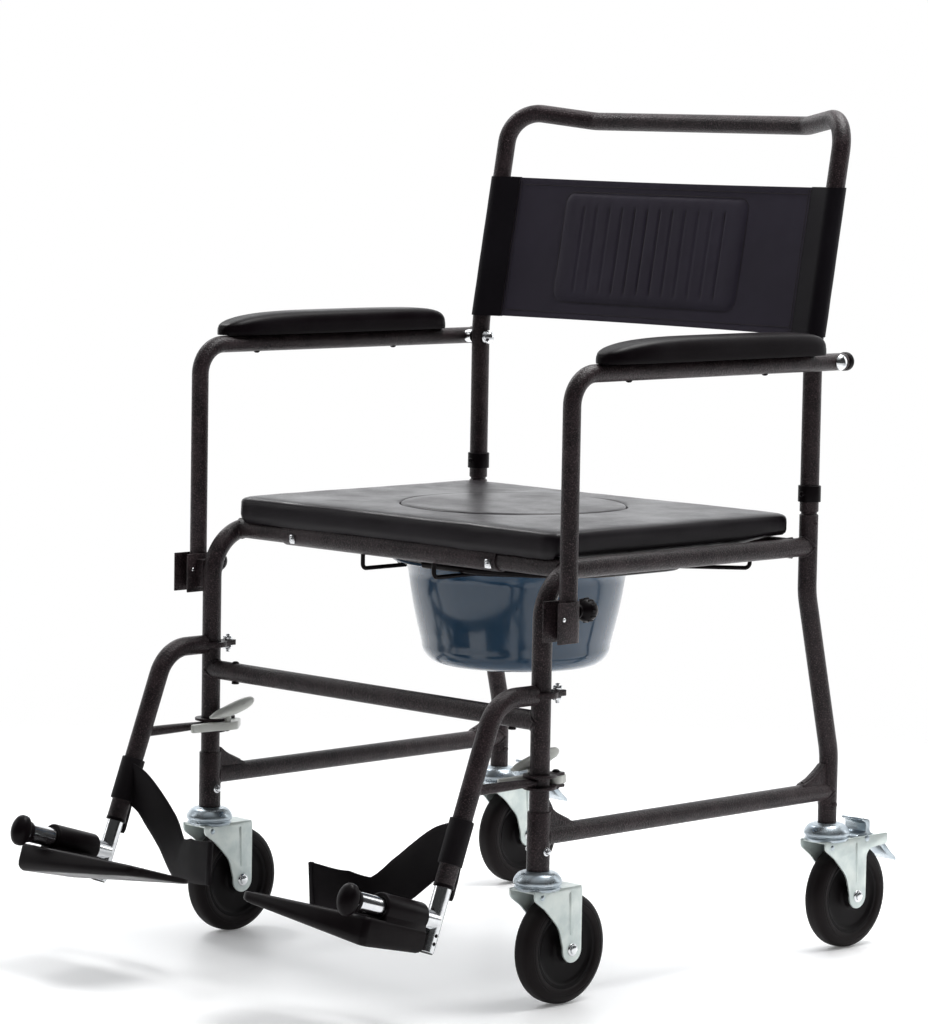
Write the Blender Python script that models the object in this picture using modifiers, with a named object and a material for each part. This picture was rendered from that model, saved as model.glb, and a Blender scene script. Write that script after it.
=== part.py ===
"""Commode wheelchair: tubular frame on four swivel castors, with a lift-off seat, a pan, flip-up
armrests and swing-away footrests. Metres, +Z up. The chair faces -Y and +X is the user's left."""

import math

import bmesh
import bpy
from mathutils import Matrix, Vector

# Clearances and tube stock
GAP = 0.0003
TUBE_R = 0.011
SLEEVE_R = 0.0128
ARM_TUBE_R = 0.010
EXTENSION_R = 0.0095
SPIGOT_R = 0.011
TUBE_SIDES = 12
BEND_STEP = math.radians(15)

# Frame: distances in Y are measured back from the axis of the front legs
HALF_TRACK = 0.270
WHEELBASE = 0.487
REAR_LEG_SET_FORWARD = 0.0465
SEAT_RAIL_Z = 0.480
SEAT_BEND_R = 0.055
LOWER_RAIL_Z = 0.190
CROSSBAR_Z = 0.316
FRONT_RAIL_BACK = 0.042
REAR_RAIL_BACK = 0.412
RAIL_SLEEVE_HALF = 0.175
RAIL_SLEEVE_X = -0.009
LEG_SLEEVE_TOP_Z = 0.217
KINK_LOW_Z = 0.235
KINK_HIGH_Z = 0.425
KINK_R = 0.09
GUSSET_LENGTH = 0.041
GUSSET_HEIGHT = 0.021
GUSSET_WIDTH = 0.012

# Castors
WHEEL_R = 0.0625
WHEEL_HALF_WIDTH = 0.0135
CASTOR_TRAIL = 0.036
CASTOR_TOP_Z = 0.152
DOME_R = 0.027
DOME_HEIGHT = 0.019
FORK_PLATE = 0.0028
FORK_HALF_INSIDE = 0.0172
AXLE_R = 0.004
AXLE_HEAD_R = 0.0075
AXLE_HEAD = 0.003
PEDAL_REACH = 0.111
PEDAL_PIN_BACK = 0.0505
PEDAL_PIN_Z = 0.1302
PEDAL_PIN_R = 0.002

# Backrest
JOINT_Z = 0.5415
LEAN_START_Z = 0.715
LEAN = math.radians(10.3)
HANDLE_Z = 0.977
HANDLE_BAR_Z = 0.964
HANDLE_BACK = 0.537
HANDLE_BAR_HALF = 0.172
HANDLE_CORNER_R = 0.040
HANDLE_BAR_R = 0.030
SLING_LOW_Z = 0.7225
SLING_HIGH_Z = 0.894
SLING_SHEET = 0.0035
SLING_SLEEVE_WALL = 0.0016
SLING_STITCHES = 12
COLLAR_WALL = 0.0023
COLLAR_HALF_HEIGHT = 0.0095

# Armrests
POST_OUT = 0.032
POST_BACK = 0.006
POST_BOTTOM_Z = 0.4075
ARM_Z = 0.6955
ARM_BEND_R = 0.035
ARM_TAIL = 0.022
ARM_PAD_FRONT = 0.043
ARM_PAD_LENGTH = 0.358
ARM_PAD_HALF_WIDTH = 0.0235
ARM_PAD_THICK = 0.027
SOCKET_WALL = 0.002
SOCKET_HEIGHT = 0.045
SOCKET_LOW_Z = 0.4055
SOCKET_FLANGE = 0.027
SOCKET_BLOCK_HALF = 0.008
KNOB_R = 0.0130
KNOB_Z = 0.4385
PLUNGER_R = 0.003
BOLT_R = 0.004
BOLT_HEAD_R = 0.009
BOLT_HEAD = 0.006
ARM_SPACER_R = 0.008

# Seat, lid and pan
SEAT_LOW_Z = SEAT_RAIL_Z + SLEEVE_R + GAP
SEAT_THICK = 0.0275
SEAT_HALF_WIDTH = 0.262
SEAT_FRONT_BACK = 0.030
SEAT_DEPTH = 0.390
SEAT_CORNER_R = 0.014
CORNER_SQUARENESS = 2.366
LID_R = 0.1325
LID_BACK = 0.228
LID_CLEARANCE = 0.0008
PAN_BACK = 0.236
PAN_RIM_R = 0.131
PAN_FLOOR_R = 0.104
PAN_FLOOR_Z = 0.333
PAN_WALL = 0.0025
PAN_FLANGE_R = 0.1465
PAN_FLANGE = 0.0035
RUNNER_R = 0.0025
RUNNER_Z = 0.451
RUNNER_HALF = 0.1385
RUNNER_HOOK_HALF = 0.058
RUNNER_REAR_HALF = 0.206
PAN_LUG_HEIGHT = 0.0085
PAN_LUG_THICK = 0.005
PAN_LUG_HALF_WIDTH = 0.009
BAIL_R = 0.0045
BAIL_REACH = 0.190
BAIL_PIN_R = 0.0025

# Footrests
HANGER_Z = 0.3455
HANGER_CORNER = 0.070
HANGER_BEND_R = 0.045
HANGER_LEAN = math.radians(21)
HANGER_END_Z = 0.1513
EXTENSION_END_Z = 0.084
EXTENSION_INSIDE = 0.085
STRAP_THICK = 0.006
STRAP_R = 0.0185
STRAP_TAIL = 0.034
STRAP_BOLT_BACK = 0.0255
LOWER_ARM_Z = 0.2500
LOWER_ARM_R = 0.006
LEAF_THICK = 0.003
LEAF_OFFSET = 0.0065
PADDLE_SIDES = 10
# Each row: inboard of the leg, behind it, above the lever, half breadth and half depth
LATCH_PADDLE = ((0.0225, -0.0195, 0.0120, 0.0030, 0.0016), (0.0225, -0.0100, 0.0142, 0.0052, 0.0046),
                (0.0222, 0.0040, 0.0168, 0.0060, 0.0066), (0.0215, 0.0200, 0.0202, 0.0064, 0.0076),
                (0.0208, 0.0340, 0.0234, 0.0062, 0.0072), (0.0202, 0.0440, 0.0256, 0.0048, 0.0056),
                (0.0200, 0.0485, 0.0266, 0.0026, 0.0030))
# Inboard of the leg, behind it, and the height above the lever to which the paddle's foot reaches
PADDLE_FOOT = (0.0218, 0.0080, 0.0170)
PADDLE_FOOT_R = 0.0036
LATCH_PIN_R = 0.0025
SPIGOT_TILT = math.radians(17)
SPIGOT_Z = 0.1160
SPIGOT_LENGTH = 0.126
PLATE_START = 0.024
PLATE_DEPTH = 0.091
PLATE_OUT = 0.017
PLATE_IN = 0.183
PLATE_TOP = -0.013
PLATE_EDGE_LOW = -0.038
PLATE_TIP_LOW = -0.018
PLATE_TOE_DROP = 0.006
PLATE_SLEEVE_R = 0.0162
PLATE_SLEEVE_LENGTH = 0.062
CAP_HALF_HEIGHT = 0.0175
CAP_HALF_WIDTH = 0.0120
CAP_LENGTH = 0.017
CAP_CROWN_R = 0.008
CAP_CROWN_LENGTH = 0.0156
HEEL_STRAP_WIDTH = 0.050
HEEL_STRAP_THICK = 0.003
# Each row: inboard of the hanger, behind the front legs, height, and the lean of its width in degrees
HEEL_STRAP_RUN = (
    (0.000, -0.1276, 0.1955, 0),
    (0.026, -0.1280, 0.1850, 15),
    (0.052, -0.1300, 0.1660, 31),
    (0.080, -0.1340, 0.1440, 34),
    (0.107, -0.1420, 0.1290, 21),
    (0.145, -0.1540, 0.1245, 3),
    (0.186, -0.1632, 0.1285, -4))

# The origin stands on the floor, under the middle of the chair's overall length
FRONT_REACH = (
    HANGER_CORNER
    + (HANGER_Z - SPIGOT_Z) * math.tan(HANGER_LEAN)
    + (SPIGOT_LENGTH + GAP + CAP_CROWN_LENGTH) * math.cos(SPIGOT_TILT)
    + CAP_CROWN_R * math.sin(SPIGOT_TILT)
)
REAR_REACH = WHEELBASE + PEDAL_REACH
FRONT_Y = (FRONT_REACH - REAR_REACH) / 2

LEG_BOTTOM_Z = CASTOR_TOP_Z + GAP
REAR_LOW_Y = FRONT_Y + WHEELBASE
REAR_HIGH_Y = REAR_LOW_Y - REAR_LEG_SET_FORWARD
HANDLE_Y = FRONT_Y + HANDLE_BACK
POST_X = HALF_TRACK + POST_OUT
POST_Y = FRONT_Y + POST_BACK
SEAT_FRONT_Y = FRONT_Y + SEAT_FRONT_BACK
LID_Y = FRONT_Y + LID_BACK
PAN_Y = FRONT_Y + PAN_BACK
RUNNER_TOP_Z = RUNNER_Z + RUNNER_R
PAN_FLANGE_Z = RUNNER_TOP_Z + GAP

SIDES = (("left", 1), ("right", -1))
COLORS = {
    "frame_paint": ((0.030, 0.022, 0.025), 0.45, 0.3),
    "sling_nylon": ((0.021, 0.018, 0.028), 0.70, 0.0),
    "seat_vinyl": ((0.017, 0.014, 0.018), 0.42, 0.0),
    "pad_foam": ((0.014, 0.012, 0.016), 0.50, 0.0),
    "pan_plastic": ((0.050, 0.105, 0.160), 0.20, 0.0),
    "black_plastic": ((0.012, 0.010, 0.012), 0.40, 0.0),
    "latch_plastic": ((0.610, 0.620, 0.580), 0.40, 0.0),
    "chrome": ((0.700, 0.710, 0.720), 0.12, 1.0),
    "zinc": ((0.620, 0.660, 0.640), 0.35, 0.6),
    "tyre_rubber": ((0.043, 0.038, 0.038), 0.60, 0.0),
    "webbing": ((0.020, 0.016, 0.022), 0.80, 0.0),
}

for old in list(bpy.data.objects):
    bpy.data.objects.remove(old, do_unlink=True)
parts = bpy.data.collections.new("commode_wheelchair")
tools = bpy.data.collections.new("cutters")
bpy.context.scene.collection.children.link(parts)
bpy.context.scene.collection.children.link(tools)

materials = {}
for material_name, (color, roughness, metallic) in COLORS.items():
    material = bpy.data.materials.new(material_name)
    material.use_nodes = True
    shader = material.node_tree.nodes["Principled BSDF"]
    shader.inputs["Base Color"].default_value = (*color, 1)
    shader.inputs["Roughness"].default_value = roughness
    shader.inputs["Metallic"].default_value = metallic
    materials[material_name] = material


# General helpers

def add_object(name, data, material=None):
    """A new object: one with a material is a part, and one without is a cutter or a piece to join."""
    obj = bpy.data.objects.new(name, data)
    if material:
        parts.objects.link(obj)
        data.materials.clear()
        data.materials.append(materials[material])
    else:
        tools.objects.link(obj)
        obj.hide_render = True
        obj.display_type = "WIRE"
    return obj


def smooth(mesh, angle=35):
    mesh.shade_smooth()
    mesh.set_sharp_from_angle(angle=math.radians(angle))


def set_origin(obj, point):
    """Moves the object's origin to a point of the chair, with its shape left where it is."""
    offset = obj.matrix_world.inverted() @ Vector(point)
    obj.data.transform(Matrix.Translation(-offset))
    obj.location = Vector(point)
    return obj


def baked(obj):
    """The evaluated shape of an object as a plain mesh in world space, with the object removed."""
    bpy.context.view_layer.update()
    evaluated = obj.evaluated_get(bpy.context.evaluated_depsgraph_get())
    mesh = bpy.data.meshes.new_from_object(evaluated)
    mesh.transform(obj.matrix_world)
    name, operands = obj.name, [m.object for m in obj.modifiers if m.type == "BOOLEAN"]
    for used in [obj] + operands:
        bpy.data.objects.remove(used, do_unlink=True)
    mesh.name = name
    return mesh


def welded(mesh, distance=0.00002):
    shape = bmesh.new()
    shape.from_mesh(mesh)
    bmesh.ops.remove_doubles(shape, verts=shape.verts, dist=distance)
    bmesh.ops.recalc_face_normals(shape, faces=shape.faces)
    shape.to_mesh(mesh)
    shape.free()
    return mesh


def combine(obj, other, operation):
    modifier = obj.modifiers.new(operation.lower(), "BOOLEAN")
    modifier.operation = operation
    modifier.object = other
    modifier.solver = "EXACT"
    return obj


def join(obj, *others):
    for other in others:
        combine(obj, other, "UNION")
    return obj


def cut(obj, *others):
    for other in others:
        combine(obj, other, "DIFFERENCE")
    return obj


def circumscribed(radius, sides):
    """The corner radius of a polygon whose flats lie at the given radius."""
    return radius / math.cos(math.pi / sides)


def rounded_path(corners, radii, step=BEND_STEP):
    """Points through the corners, each inner corner replaced by an arc of its radius."""
    corners = [Vector(c) for c in corners]
    if not isinstance(radii, (list, tuple)):
        radii = [radii] * (len(corners) - 2)
    points = [corners[0]]
    for before, corner, after, radius in zip(corners, corners[1:], corners[2:], radii):
        into = (corner - before).normalized()
        out = (after - corner).normalized()
        turn = into.angle(out)
        reach = radius * math.tan(turn / 2)
        centre = corner + (out - into).normalized() * (radius / math.cos(turn / 2))
        start = corner - into * reach - centre
        axis = into.cross(out).normalized()
        count = max(2, math.ceil(turn / step))
        for i in range(count + 1):
            points.append(centre + Matrix.Rotation(turn * i / count, 3, axis) @ start)
    points.append(corners[-1])
    return points


def curve_data(name, points, cyclic=False, flat=False):
    data = bpy.data.curves.new(name, "CURVE")
    data.dimensions = "2D" if flat else "3D"
    spline = data.splines.new("POLY")
    spline.points.add(len(points) - 1)
    for target, point in zip(spline.points, points):
        target.co = (*point, 1) if len(point) == 3 else (*point, 0, 1)
    spline.use_cyclic_u = cyclic
    return data


def tube(name, points, radius, material=None, sides=TUBE_SIDES):
    """A round bar along the points, as a closed mesh."""
    data = curve_data(name, points)
    data.bevel_depth = radius
    data.bevel_resolution = (sides - 4) // 2
    data.use_fill_caps = True
    guide = bpy.data.objects.new(name, data)
    tools.objects.link(guide)
    mesh = welded(baked(guide))
    smooth(mesh)
    return add_object(name, mesh, material)


def plate(name, outline, thickness, place, material=None):
    """A flat outline with a thickness, centred on the plane that the matrix gives."""
    data = curve_data(name, outline, cyclic=True, flat=True)
    data.fill_mode = "BOTH"
    data.extrude = thickness / 2
    guide = bpy.data.objects.new(name, data)
    tools.objects.link(guide)
    guide.matrix_world = place
    mesh = welded(baked(guide))
    smooth(mesh)
    return add_object(name, mesh, material)


def side_plane(x):
    """Places an outline of (Y, Z) points upright at the given X."""
    return Matrix(((0, 0, 1, x), (1, 0, 0, 0), (0, 1, 0, 0), (0, 0, 0, 1)))


def level_plane(z):
    return Matrix.Translation((0, 0, z))


def turned(name, profile, place, material=None, steps=32, closed=False):
    """A profile of (radius, height) points turned about its height axis. It runs down the outer side."""
    mesh = bpy.data.meshes.new(name)
    shape = bmesh.new()
    verts = [shape.verts.new((radius, 0, height)) for radius, height in profile]
    for a, b in zip(verts, verts[1:]):
        shape.edges.new((a, b))
    if closed:
        shape.edges.new((verts[-1], verts[0]))
    shape.to_mesh(mesh)
    shape.free()
    guide = bpy.data.objects.new(name, mesh)
    tools.objects.link(guide)
    guide.matrix_world = place
    screw = guide.modifiers.new("turn", "SCREW")
    screw.steps = steps
    screw.render_steps = steps
    screw.use_merge_vertices = True
    screw.merge_threshold = 0.00001
    solid = welded(baked(guide))
    smooth(solid)
    return add_object(name, solid, material)


def along(axis, point):
    """A frame at the point whose Z runs along the axis."""
    return Matrix.Translation(point) @ Vector(axis).to_track_quat("Z", "Y").to_matrix().to_4x4()


def rod(name, start, end, radius, material=None, sides=TUBE_SIDES):
    """A straight round bar between two points."""
    start, end = Vector(start), Vector(end)
    mesh = bpy.data.meshes.new(name)
    shape = bmesh.new()
    bmesh.ops.create_cone(
        shape, cap_ends=True, segments=sides, radius1=radius, radius2=radius, depth=(end - start).length
    )
    shape.to_mesh(mesh)
    shape.free()
    mesh.transform(along(end - start, (start + end) / 2))
    smooth(mesh)
    return add_object(name, mesh, material)


def block(name, low, high, material=None, bevel=0.0):
    """A box between two corners, with its edges rounded where a bevel is given."""
    low, high = Vector(low), Vector(high)
    mesh = bpy.data.meshes.new(name)
    shape = bmesh.new()
    bmesh.ops.create_cube(shape, size=1)
    shape.to_mesh(mesh)
    shape.free()
    mesh.transform(Matrix.Translation((low + high) / 2) @ Matrix.Diagonal((*(high - low), 1)))
    obj = add_object(name, mesh, material)
    if bevel:
        rounding = obj.modifiers.new("round", "BEVEL")
        rounding.width = bevel
        rounding.segments = 2
    return obj


def loft(name, rings, material=None):
    """A closed body through rings of equal count, with its first and last ring filled."""
    mesh = bpy.data.meshes.new(name)
    shape = bmesh.new()
    rows = [[shape.verts.new(point) for point in ring] for ring in rings]
    for row, following in zip(rows, rows[1:]):
        for i in range(len(row)):
            k = (i + 1) % len(row)
            shape.faces.new((row[i], row[k], following[k], following[i]))
    shape.faces.new(rows[0][::-1])
    shape.faces.new(rows[-1])
    bmesh.ops.recalc_face_normals(shape, faces=shape.faces)
    shape.to_mesh(mesh)
    shape.free()
    smooth(mesh, 50)
    return add_object(name, mesh, material)


def arc(centre, radius, start, end, count):
    """Points of an arc in a plane, angles in degrees."""
    angles = [math.radians(start + (end - start) * i / count) for i in range(count + 1)]
    return [(centre[0] + radius * math.cos(a), centre[1] + radius * math.sin(a)) for a in angles]


# Frame

def side_tube_path(s):
    x = s * HALF_TRACK
    corners = [(x, FRONT_Y, LEG_BOTTOM_Z), (x, FRONT_Y, SEAT_RAIL_Z), (x, REAR_HIGH_Y, SEAT_RAIL_Z)]
    return rounded_path(corners, SEAT_BEND_R)


def rear_leg_path(s):
    x = s * HALF_TRACK
    corners = [
        (x, REAR_LOW_Y, LEG_BOTTOM_Z),
        (x, REAR_LOW_Y, KINK_LOW_Z),
        (x, REAR_HIGH_Y, KINK_HIGH_Z),
        (x, REAR_HIGH_Y, JOINT_Z - GAP / 2),
    ]
    return rounded_path(corners, KINK_R, math.radians(7))


def clear_of_tube(path, sides=TUBE_SIDES):
    """A cutter that leaves the clearance round a frame tube."""
    return tube("clear", path, circumscribed(TUBE_R + GAP, sides), sides=sides)


def clear_of_leg(x, y, low, high):
    return rod("clear", (x, y, low), (x, y, high), circumscribed(TUBE_R + GAP, 16), sides=16)


def build_side_frame(label, s):
    x = s * HALF_TRACK
    side = tube("side_tube_" + label, side_tube_path(s), TUBE_R, "frame_paint")
    cut(side, clear_of_leg(x, REAR_HIGH_Y, SEAT_RAIL_Z - 0.03, SEAT_RAIL_Z + 0.03))

    leg = tube("rear_leg_" + label, rear_leg_path(s), TUBE_R, "frame_paint")
    neck_z = JOINT_Z - 0.0225
    neck_r = TUBE_R - 0.0016
    neck = [(TUBE_R + 0.003, 0.002), (TUBE_R + 0.003, -0.002), (neck_r, -0.0008), (neck_r, 0.0008)]
    cut(leg, turned("neck", neck, along((0, 0, 1), (x, REAR_HIGH_Y, neck_z)), steps=16, closed=True))

    rail = rod("lower_side_rail_" + label, (x, FRONT_Y, LOWER_RAIL_Z), (x, REAR_LOW_Y, LOWER_RAIL_Z),
               TUBE_R, "frame_paint")
    sleeve = rod("sleeve", (x, FRONT_Y, LEG_BOTTOM_Z), (x, FRONT_Y, LEG_SLEEVE_TOP_Z), SLEEVE_R, sides=16)
    rail_top = LOWER_RAIL_Z + TUBE_R
    gussets = []
    for leg_y, way in ((FRONT_Y, 1), (REAR_LOW_Y, -1)):
        outline = [
            (leg_y + way * 0.006, rail_top - 0.006),
            (leg_y + way * (TUBE_R + GUSSET_LENGTH), rail_top - 0.006),
            (leg_y + way * (TUBE_R + GUSSET_LENGTH), rail_top - 0.0035),
            (leg_y + way * (TUBE_R + 0.002), rail_top + GUSSET_HEIGHT),
            (leg_y + way * 0.006, rail_top + GUSSET_HEIGHT),
        ]
        gussets.append(plate("gusset", outline, GUSSET_WIDTH, side_plane(x)))
    join(rail, sleeve, *gussets)
    cut(rail, clear_of_leg(x, FRONT_Y, LEG_BOTTOM_Z - 0.01, LEG_SLEEVE_TOP_Z + 0.03))
    cut(rail, clear_of_leg(x, REAR_LOW_Y, LOWER_RAIL_Z - 0.03, LOWER_RAIL_Z + 0.05))


def build_cross_rails():
    front_y = FRONT_Y + FRONT_RAIL_BACK
    rear_y = FRONT_Y + REAR_RAIL_BACK
    front = rod("front_seat_rail", (-HALF_TRACK, front_y, SEAT_RAIL_Z), (HALF_TRACK, front_y, SEAT_RAIL_Z),
                TUBE_R, "frame_paint")
    sleeve_ends = [(RAIL_SLEEVE_X + way * RAIL_SLEEVE_HALF, front_y, SEAT_RAIL_Z) for way in (-1, 1)]
    join(front, rod("sleeve", *sleeve_ends, SLEEVE_R, sides=16))
    rear = rod("rear_seat_rail", (-HALF_TRACK, rear_y, SEAT_RAIL_Z), (HALF_TRACK, rear_y, SEAT_RAIL_Z),
               TUBE_R, "frame_paint")
    lower = rod("front_crossbar", (-HALF_TRACK, FRONT_Y, CROSSBAR_Z), (HALF_TRACK, FRONT_Y, CROSSBAR_Z),
                TUBE_R, "frame_paint")
    for rail in (front, rear):
        cut(rail, *[clear_of_tube(side_tube_path(s)) for _, s in SIDES])
    for _, s in SIDES:
        cut(lower, clear_of_leg(s * HALF_TRACK, FRONT_Y, CROSSBAR_Z - 0.03, CROSSBAR_Z + 0.03))


# Backrest

def upright_y(z):
    """The Y of an upright's axis at a height above the armrests."""
    return REAR_HIGH_Y + max(0.0, z - LEAN_START_Z) * math.tan(LEAN)


def backrest_path():
    bottom = JOINT_Z + GAP / 2
    left = [
        (HALF_TRACK, REAR_HIGH_Y, bottom),
        (HALF_TRACK, REAR_HIGH_Y, LEAN_START_Z),
        (HALF_TRACK, upright_y(HANDLE_Z), HANDLE_Z),
        (HANDLE_BAR_HALF, HANDLE_Y, HANDLE_BAR_Z),
    ]
    right = [(-x, y, z) for x, y, z in left[::-1]]
    lean_r = 0.15
    radii = [lean_r, HANDLE_CORNER_R, HANDLE_BAR_R, HANDLE_BAR_R, HANDLE_CORNER_R, lean_r]
    return rounded_path(left + right, radii)


def build_backrest():
    back = tube("backrest_tube", backrest_path(), TUBE_R, "frame_paint")
    for _, s in SIDES:
        x = s * HALF_TRACK
        cut(back, rod("bolt_hole", (x - 0.02, REAR_HIGH_Y, ARM_Z), (x + 0.02, REAR_HIGH_Y, ARM_Z),
                      circumscribed(BOLT_R + GAP, 12), sides=12))
    build_sling()
    for label, s in SIDES:
        x = s * HALF_TRACK
        inner = circumscribed(TUBE_R + GAP, 16)
        outer = TUBE_R + COLLAR_WALL
        half = COLLAR_HALF_HEIGHT
        ring = [(outer, half), (outer, -half), (inner, -half), (inner, half)]
        collar = turned("back_collar_" + label, ring, along((0, 0, 1), (x, REAR_HIGH_Y, JOINT_Z)),
                        "black_plastic", steps=16, closed=True)
        for way in (-1, 1):
            start = (x, REAR_HIGH_Y + way * (TUBE_R + 0.001), JOINT_Z)
            end = (x, REAR_HIGH_Y + way * (TUBE_R + 0.0045), JOINT_Z)
            join(collar, rod("stud", start, end, 0.003, sides=8))


def build_sling():
    """A sewn sheet between two sleeves on the uprights, with a padded panel stitched in channels."""
    panel_half = 0.148
    panel_low, panel_high = SLING_LOW_Z + 0.022, SLING_HIGH_Z - 0.020
    stitch_half = 0.1135
    stitch_low, stitch_high = panel_low + 0.014, panel_high - 0.004
    pitch = 2 * stitch_half / (SLING_STITCHES - 1)
    puff, groove = 0.0024, 0.0015

    stitches = [-stitch_half + pitch * i for i in range(SLING_STITCHES)]
    ridges = [x + pitch / 2 for x in stitches[:-1]]
    edges = [panel_half, panel_half - 0.006, HALF_TRACK * 0.75, HALF_TRACK]
    columns = sorted(stitches + ridges + edges + [-x for x in edges])
    rows = [SLING_LOW_Z + 0.0015, panel_low, panel_low + 0.006, stitch_low + 0.004,
            stitch_high - 0.004, panel_high - 0.004, panel_high, SLING_HIGH_Z - 0.0015]

    def swell(x, z):
        if abs(x) >= panel_half or not panel_low < z < panel_high:
            return 0.0
        sewn = any(abs(x - at) < 0.0001 for at in stitches) and stitch_low < z < stitch_high
        return puff - groove if sewn else puff

    mesh = bpy.data.meshes.new("backrest_sling")
    shape = bmesh.new()
    bmesh.ops.create_grid(shape, x_segments=len(columns) - 1, y_segments=len(rows) - 1, size=1)
    for vert in shape.verts:
        x = columns[round((vert.co.x + 1) / 2 * (len(columns) - 1))]
        z = rows[round((vert.co.y + 1) / 2 * (len(rows) - 1))]
        vert.co = (x, upright_y(z) - swell(x, z), z)
    bmesh.ops.recalc_face_normals(shape, faces=shape.faces)
    shape.to_mesh(mesh)
    shape.free()
    sheet = bpy.data.objects.new("sheet", mesh)
    tools.objects.link(sheet)
    solidify = sheet.modifiers.new("thickness", "SOLIDIFY")
    solidify.thickness = SLING_SHEET
    solidify.offset = 0
    sheet_mesh = baked(sheet)
    smooth(sheet_mesh, 50)
    sling = add_object("backrest_sling", sheet_mesh, "sling_nylon")

    sleeve_r = TUBE_R + GAP + SLING_SLEEVE_WALL
    for _, s in SIDES:
        x = s * HALF_TRACK
        levels = (SLING_LOW_Z, SLING_HIGH_Z)
        join(sling, tube("sleeve", [(x, upright_y(z), z) for z in levels], sleeve_r, sides=16))
    bore = (TUBE_R + GAP, 12)
    for _, s in SIDES:
        x = s * HALF_TRACK
        levels = (SLING_LOW_Z - 0.03, LEAN_START_Z, SLING_HIGH_Z + 0.03)
        corners = [(x, upright_y(z), z) for z in levels]
        cut(sling, tube("clear", rounded_path(corners, 0.15), circumscribed(*bore), sides=12))


# Armrests

def build_armrest(label, s):
    x = s * POST_X
    tail_y = REAR_HIGH_Y + ARM_TAIL
    corners = [(x, POST_Y, POST_BOTTOM_Z), (x, POST_Y, ARM_Z), (x, tail_y, ARM_Z)]
    pivot = (x, REAR_HIGH_Y, ARM_Z)
    arm = tube("armrest_tube_" + label, rounded_path(corners, ARM_BEND_R), ARM_TUBE_R, "frame_paint")
    cap_r = ARM_TUBE_R + 0.0008
    dome = [(0, 0.007), (0.0065, 0.0055), (cap_r, 0), (cap_r, -0.006), (0, -0.006)]
    join(arm, turned("end_cap", dome, along((0, 1, 0), (x, tail_y, ARM_Z)), steps=14))
    cut(arm, rod("bolt_hole", (x - 0.02, REAR_HIGH_Y, ARM_Z), (x + 0.02, REAR_HIGH_Y, ARM_Z),
                 circumscribed(BOLT_R + GAP, 12), sides=12))
    set_origin(arm, pivot)
    set_origin(build_arm_pad(label, s), pivot)

    inner_face = HALF_TRACK - TUBE_R - GAP
    spacer_low, spacer_high = HALF_TRACK + TUBE_R + GAP, POST_X - ARM_TUBE_R - GAP
    outer_face = POST_X + ARM_TUBE_R + GAP
    dome_r = BOLT_HEAD_R * 0.6
    profile = [
        (0, outer_face + BOLT_HEAD), (dome_r, outer_face + BOLT_HEAD * 0.8),
        (BOLT_HEAD_R, outer_face + 0.002), (BOLT_HEAD_R, outer_face), (BOLT_R, outer_face),
        (BOLT_R, spacer_high), (ARM_SPACER_R, spacer_high), (ARM_SPACER_R, spacer_low), (BOLT_R, spacer_low),
        (BOLT_R, inner_face), (BOLT_HEAD_R, inner_face), (BOLT_HEAD_R, inner_face - 0.004),
        (dome_r, inner_face - BOLT_HEAD - 0.001), (0, inner_face - BOLT_HEAD - 0.003),
    ]
    turned("arm_pivot_bolt_" + label, profile, along((s, 0, 0), (0, REAR_HIGH_Y, ARM_Z)), "chrome", steps=10)


def build_arm_pad(label, s):
    """A crowned pad with a thin nose and a base lip, outboard enough to pass the backrest when raised."""
    base_z = ARM_Z + ARM_TUBE_R + GAP
    inner_x = HALF_TRACK + TUBE_R + GAP + SLING_SLEEVE_WALL + 0.0015
    middle_x = inner_x + ARM_PAD_HALF_WIDTH
    nose = [(0.0, 0.30, 0.34), (0.012, 0.62, 0.55), (0.035, 0.86, 0.78), (0.075, 0.97, 0.94)]
    tail = [(0.220, 1.0, 1.0), (0.110, 1.0, 1.0), (0.035, 0.99, 0.93), (0.012, 0.93, 0.78), (0.0, 0.72, 0.52)]
    stations = nose + [(ARM_PAD_LENGTH - left, breadth, height) for left, breadth, height in tail]
    rings = []
    for distance, breadth, height in stations:
        half = ARM_PAD_HALF_WIDTH * breadth
        top = ARM_PAD_THICK * height
        lip = min(0.006, top * 0.4)
        outer = [(half, 0), (half, lip), (half * 0.93, top * 0.62), (half * 0.72, top * 0.90)]
        outer.append((half * 0.30, top))
        section = outer + [(-across, up) for across, up in outer[::-1]]
        y = FRONT_Y + ARM_PAD_FRONT + distance
        rings.append([(s * (middle_x + across), y, base_z + up) for across, up in section])
    return loft("armrest_pad_" + label, rings, "pad_foam")


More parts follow.
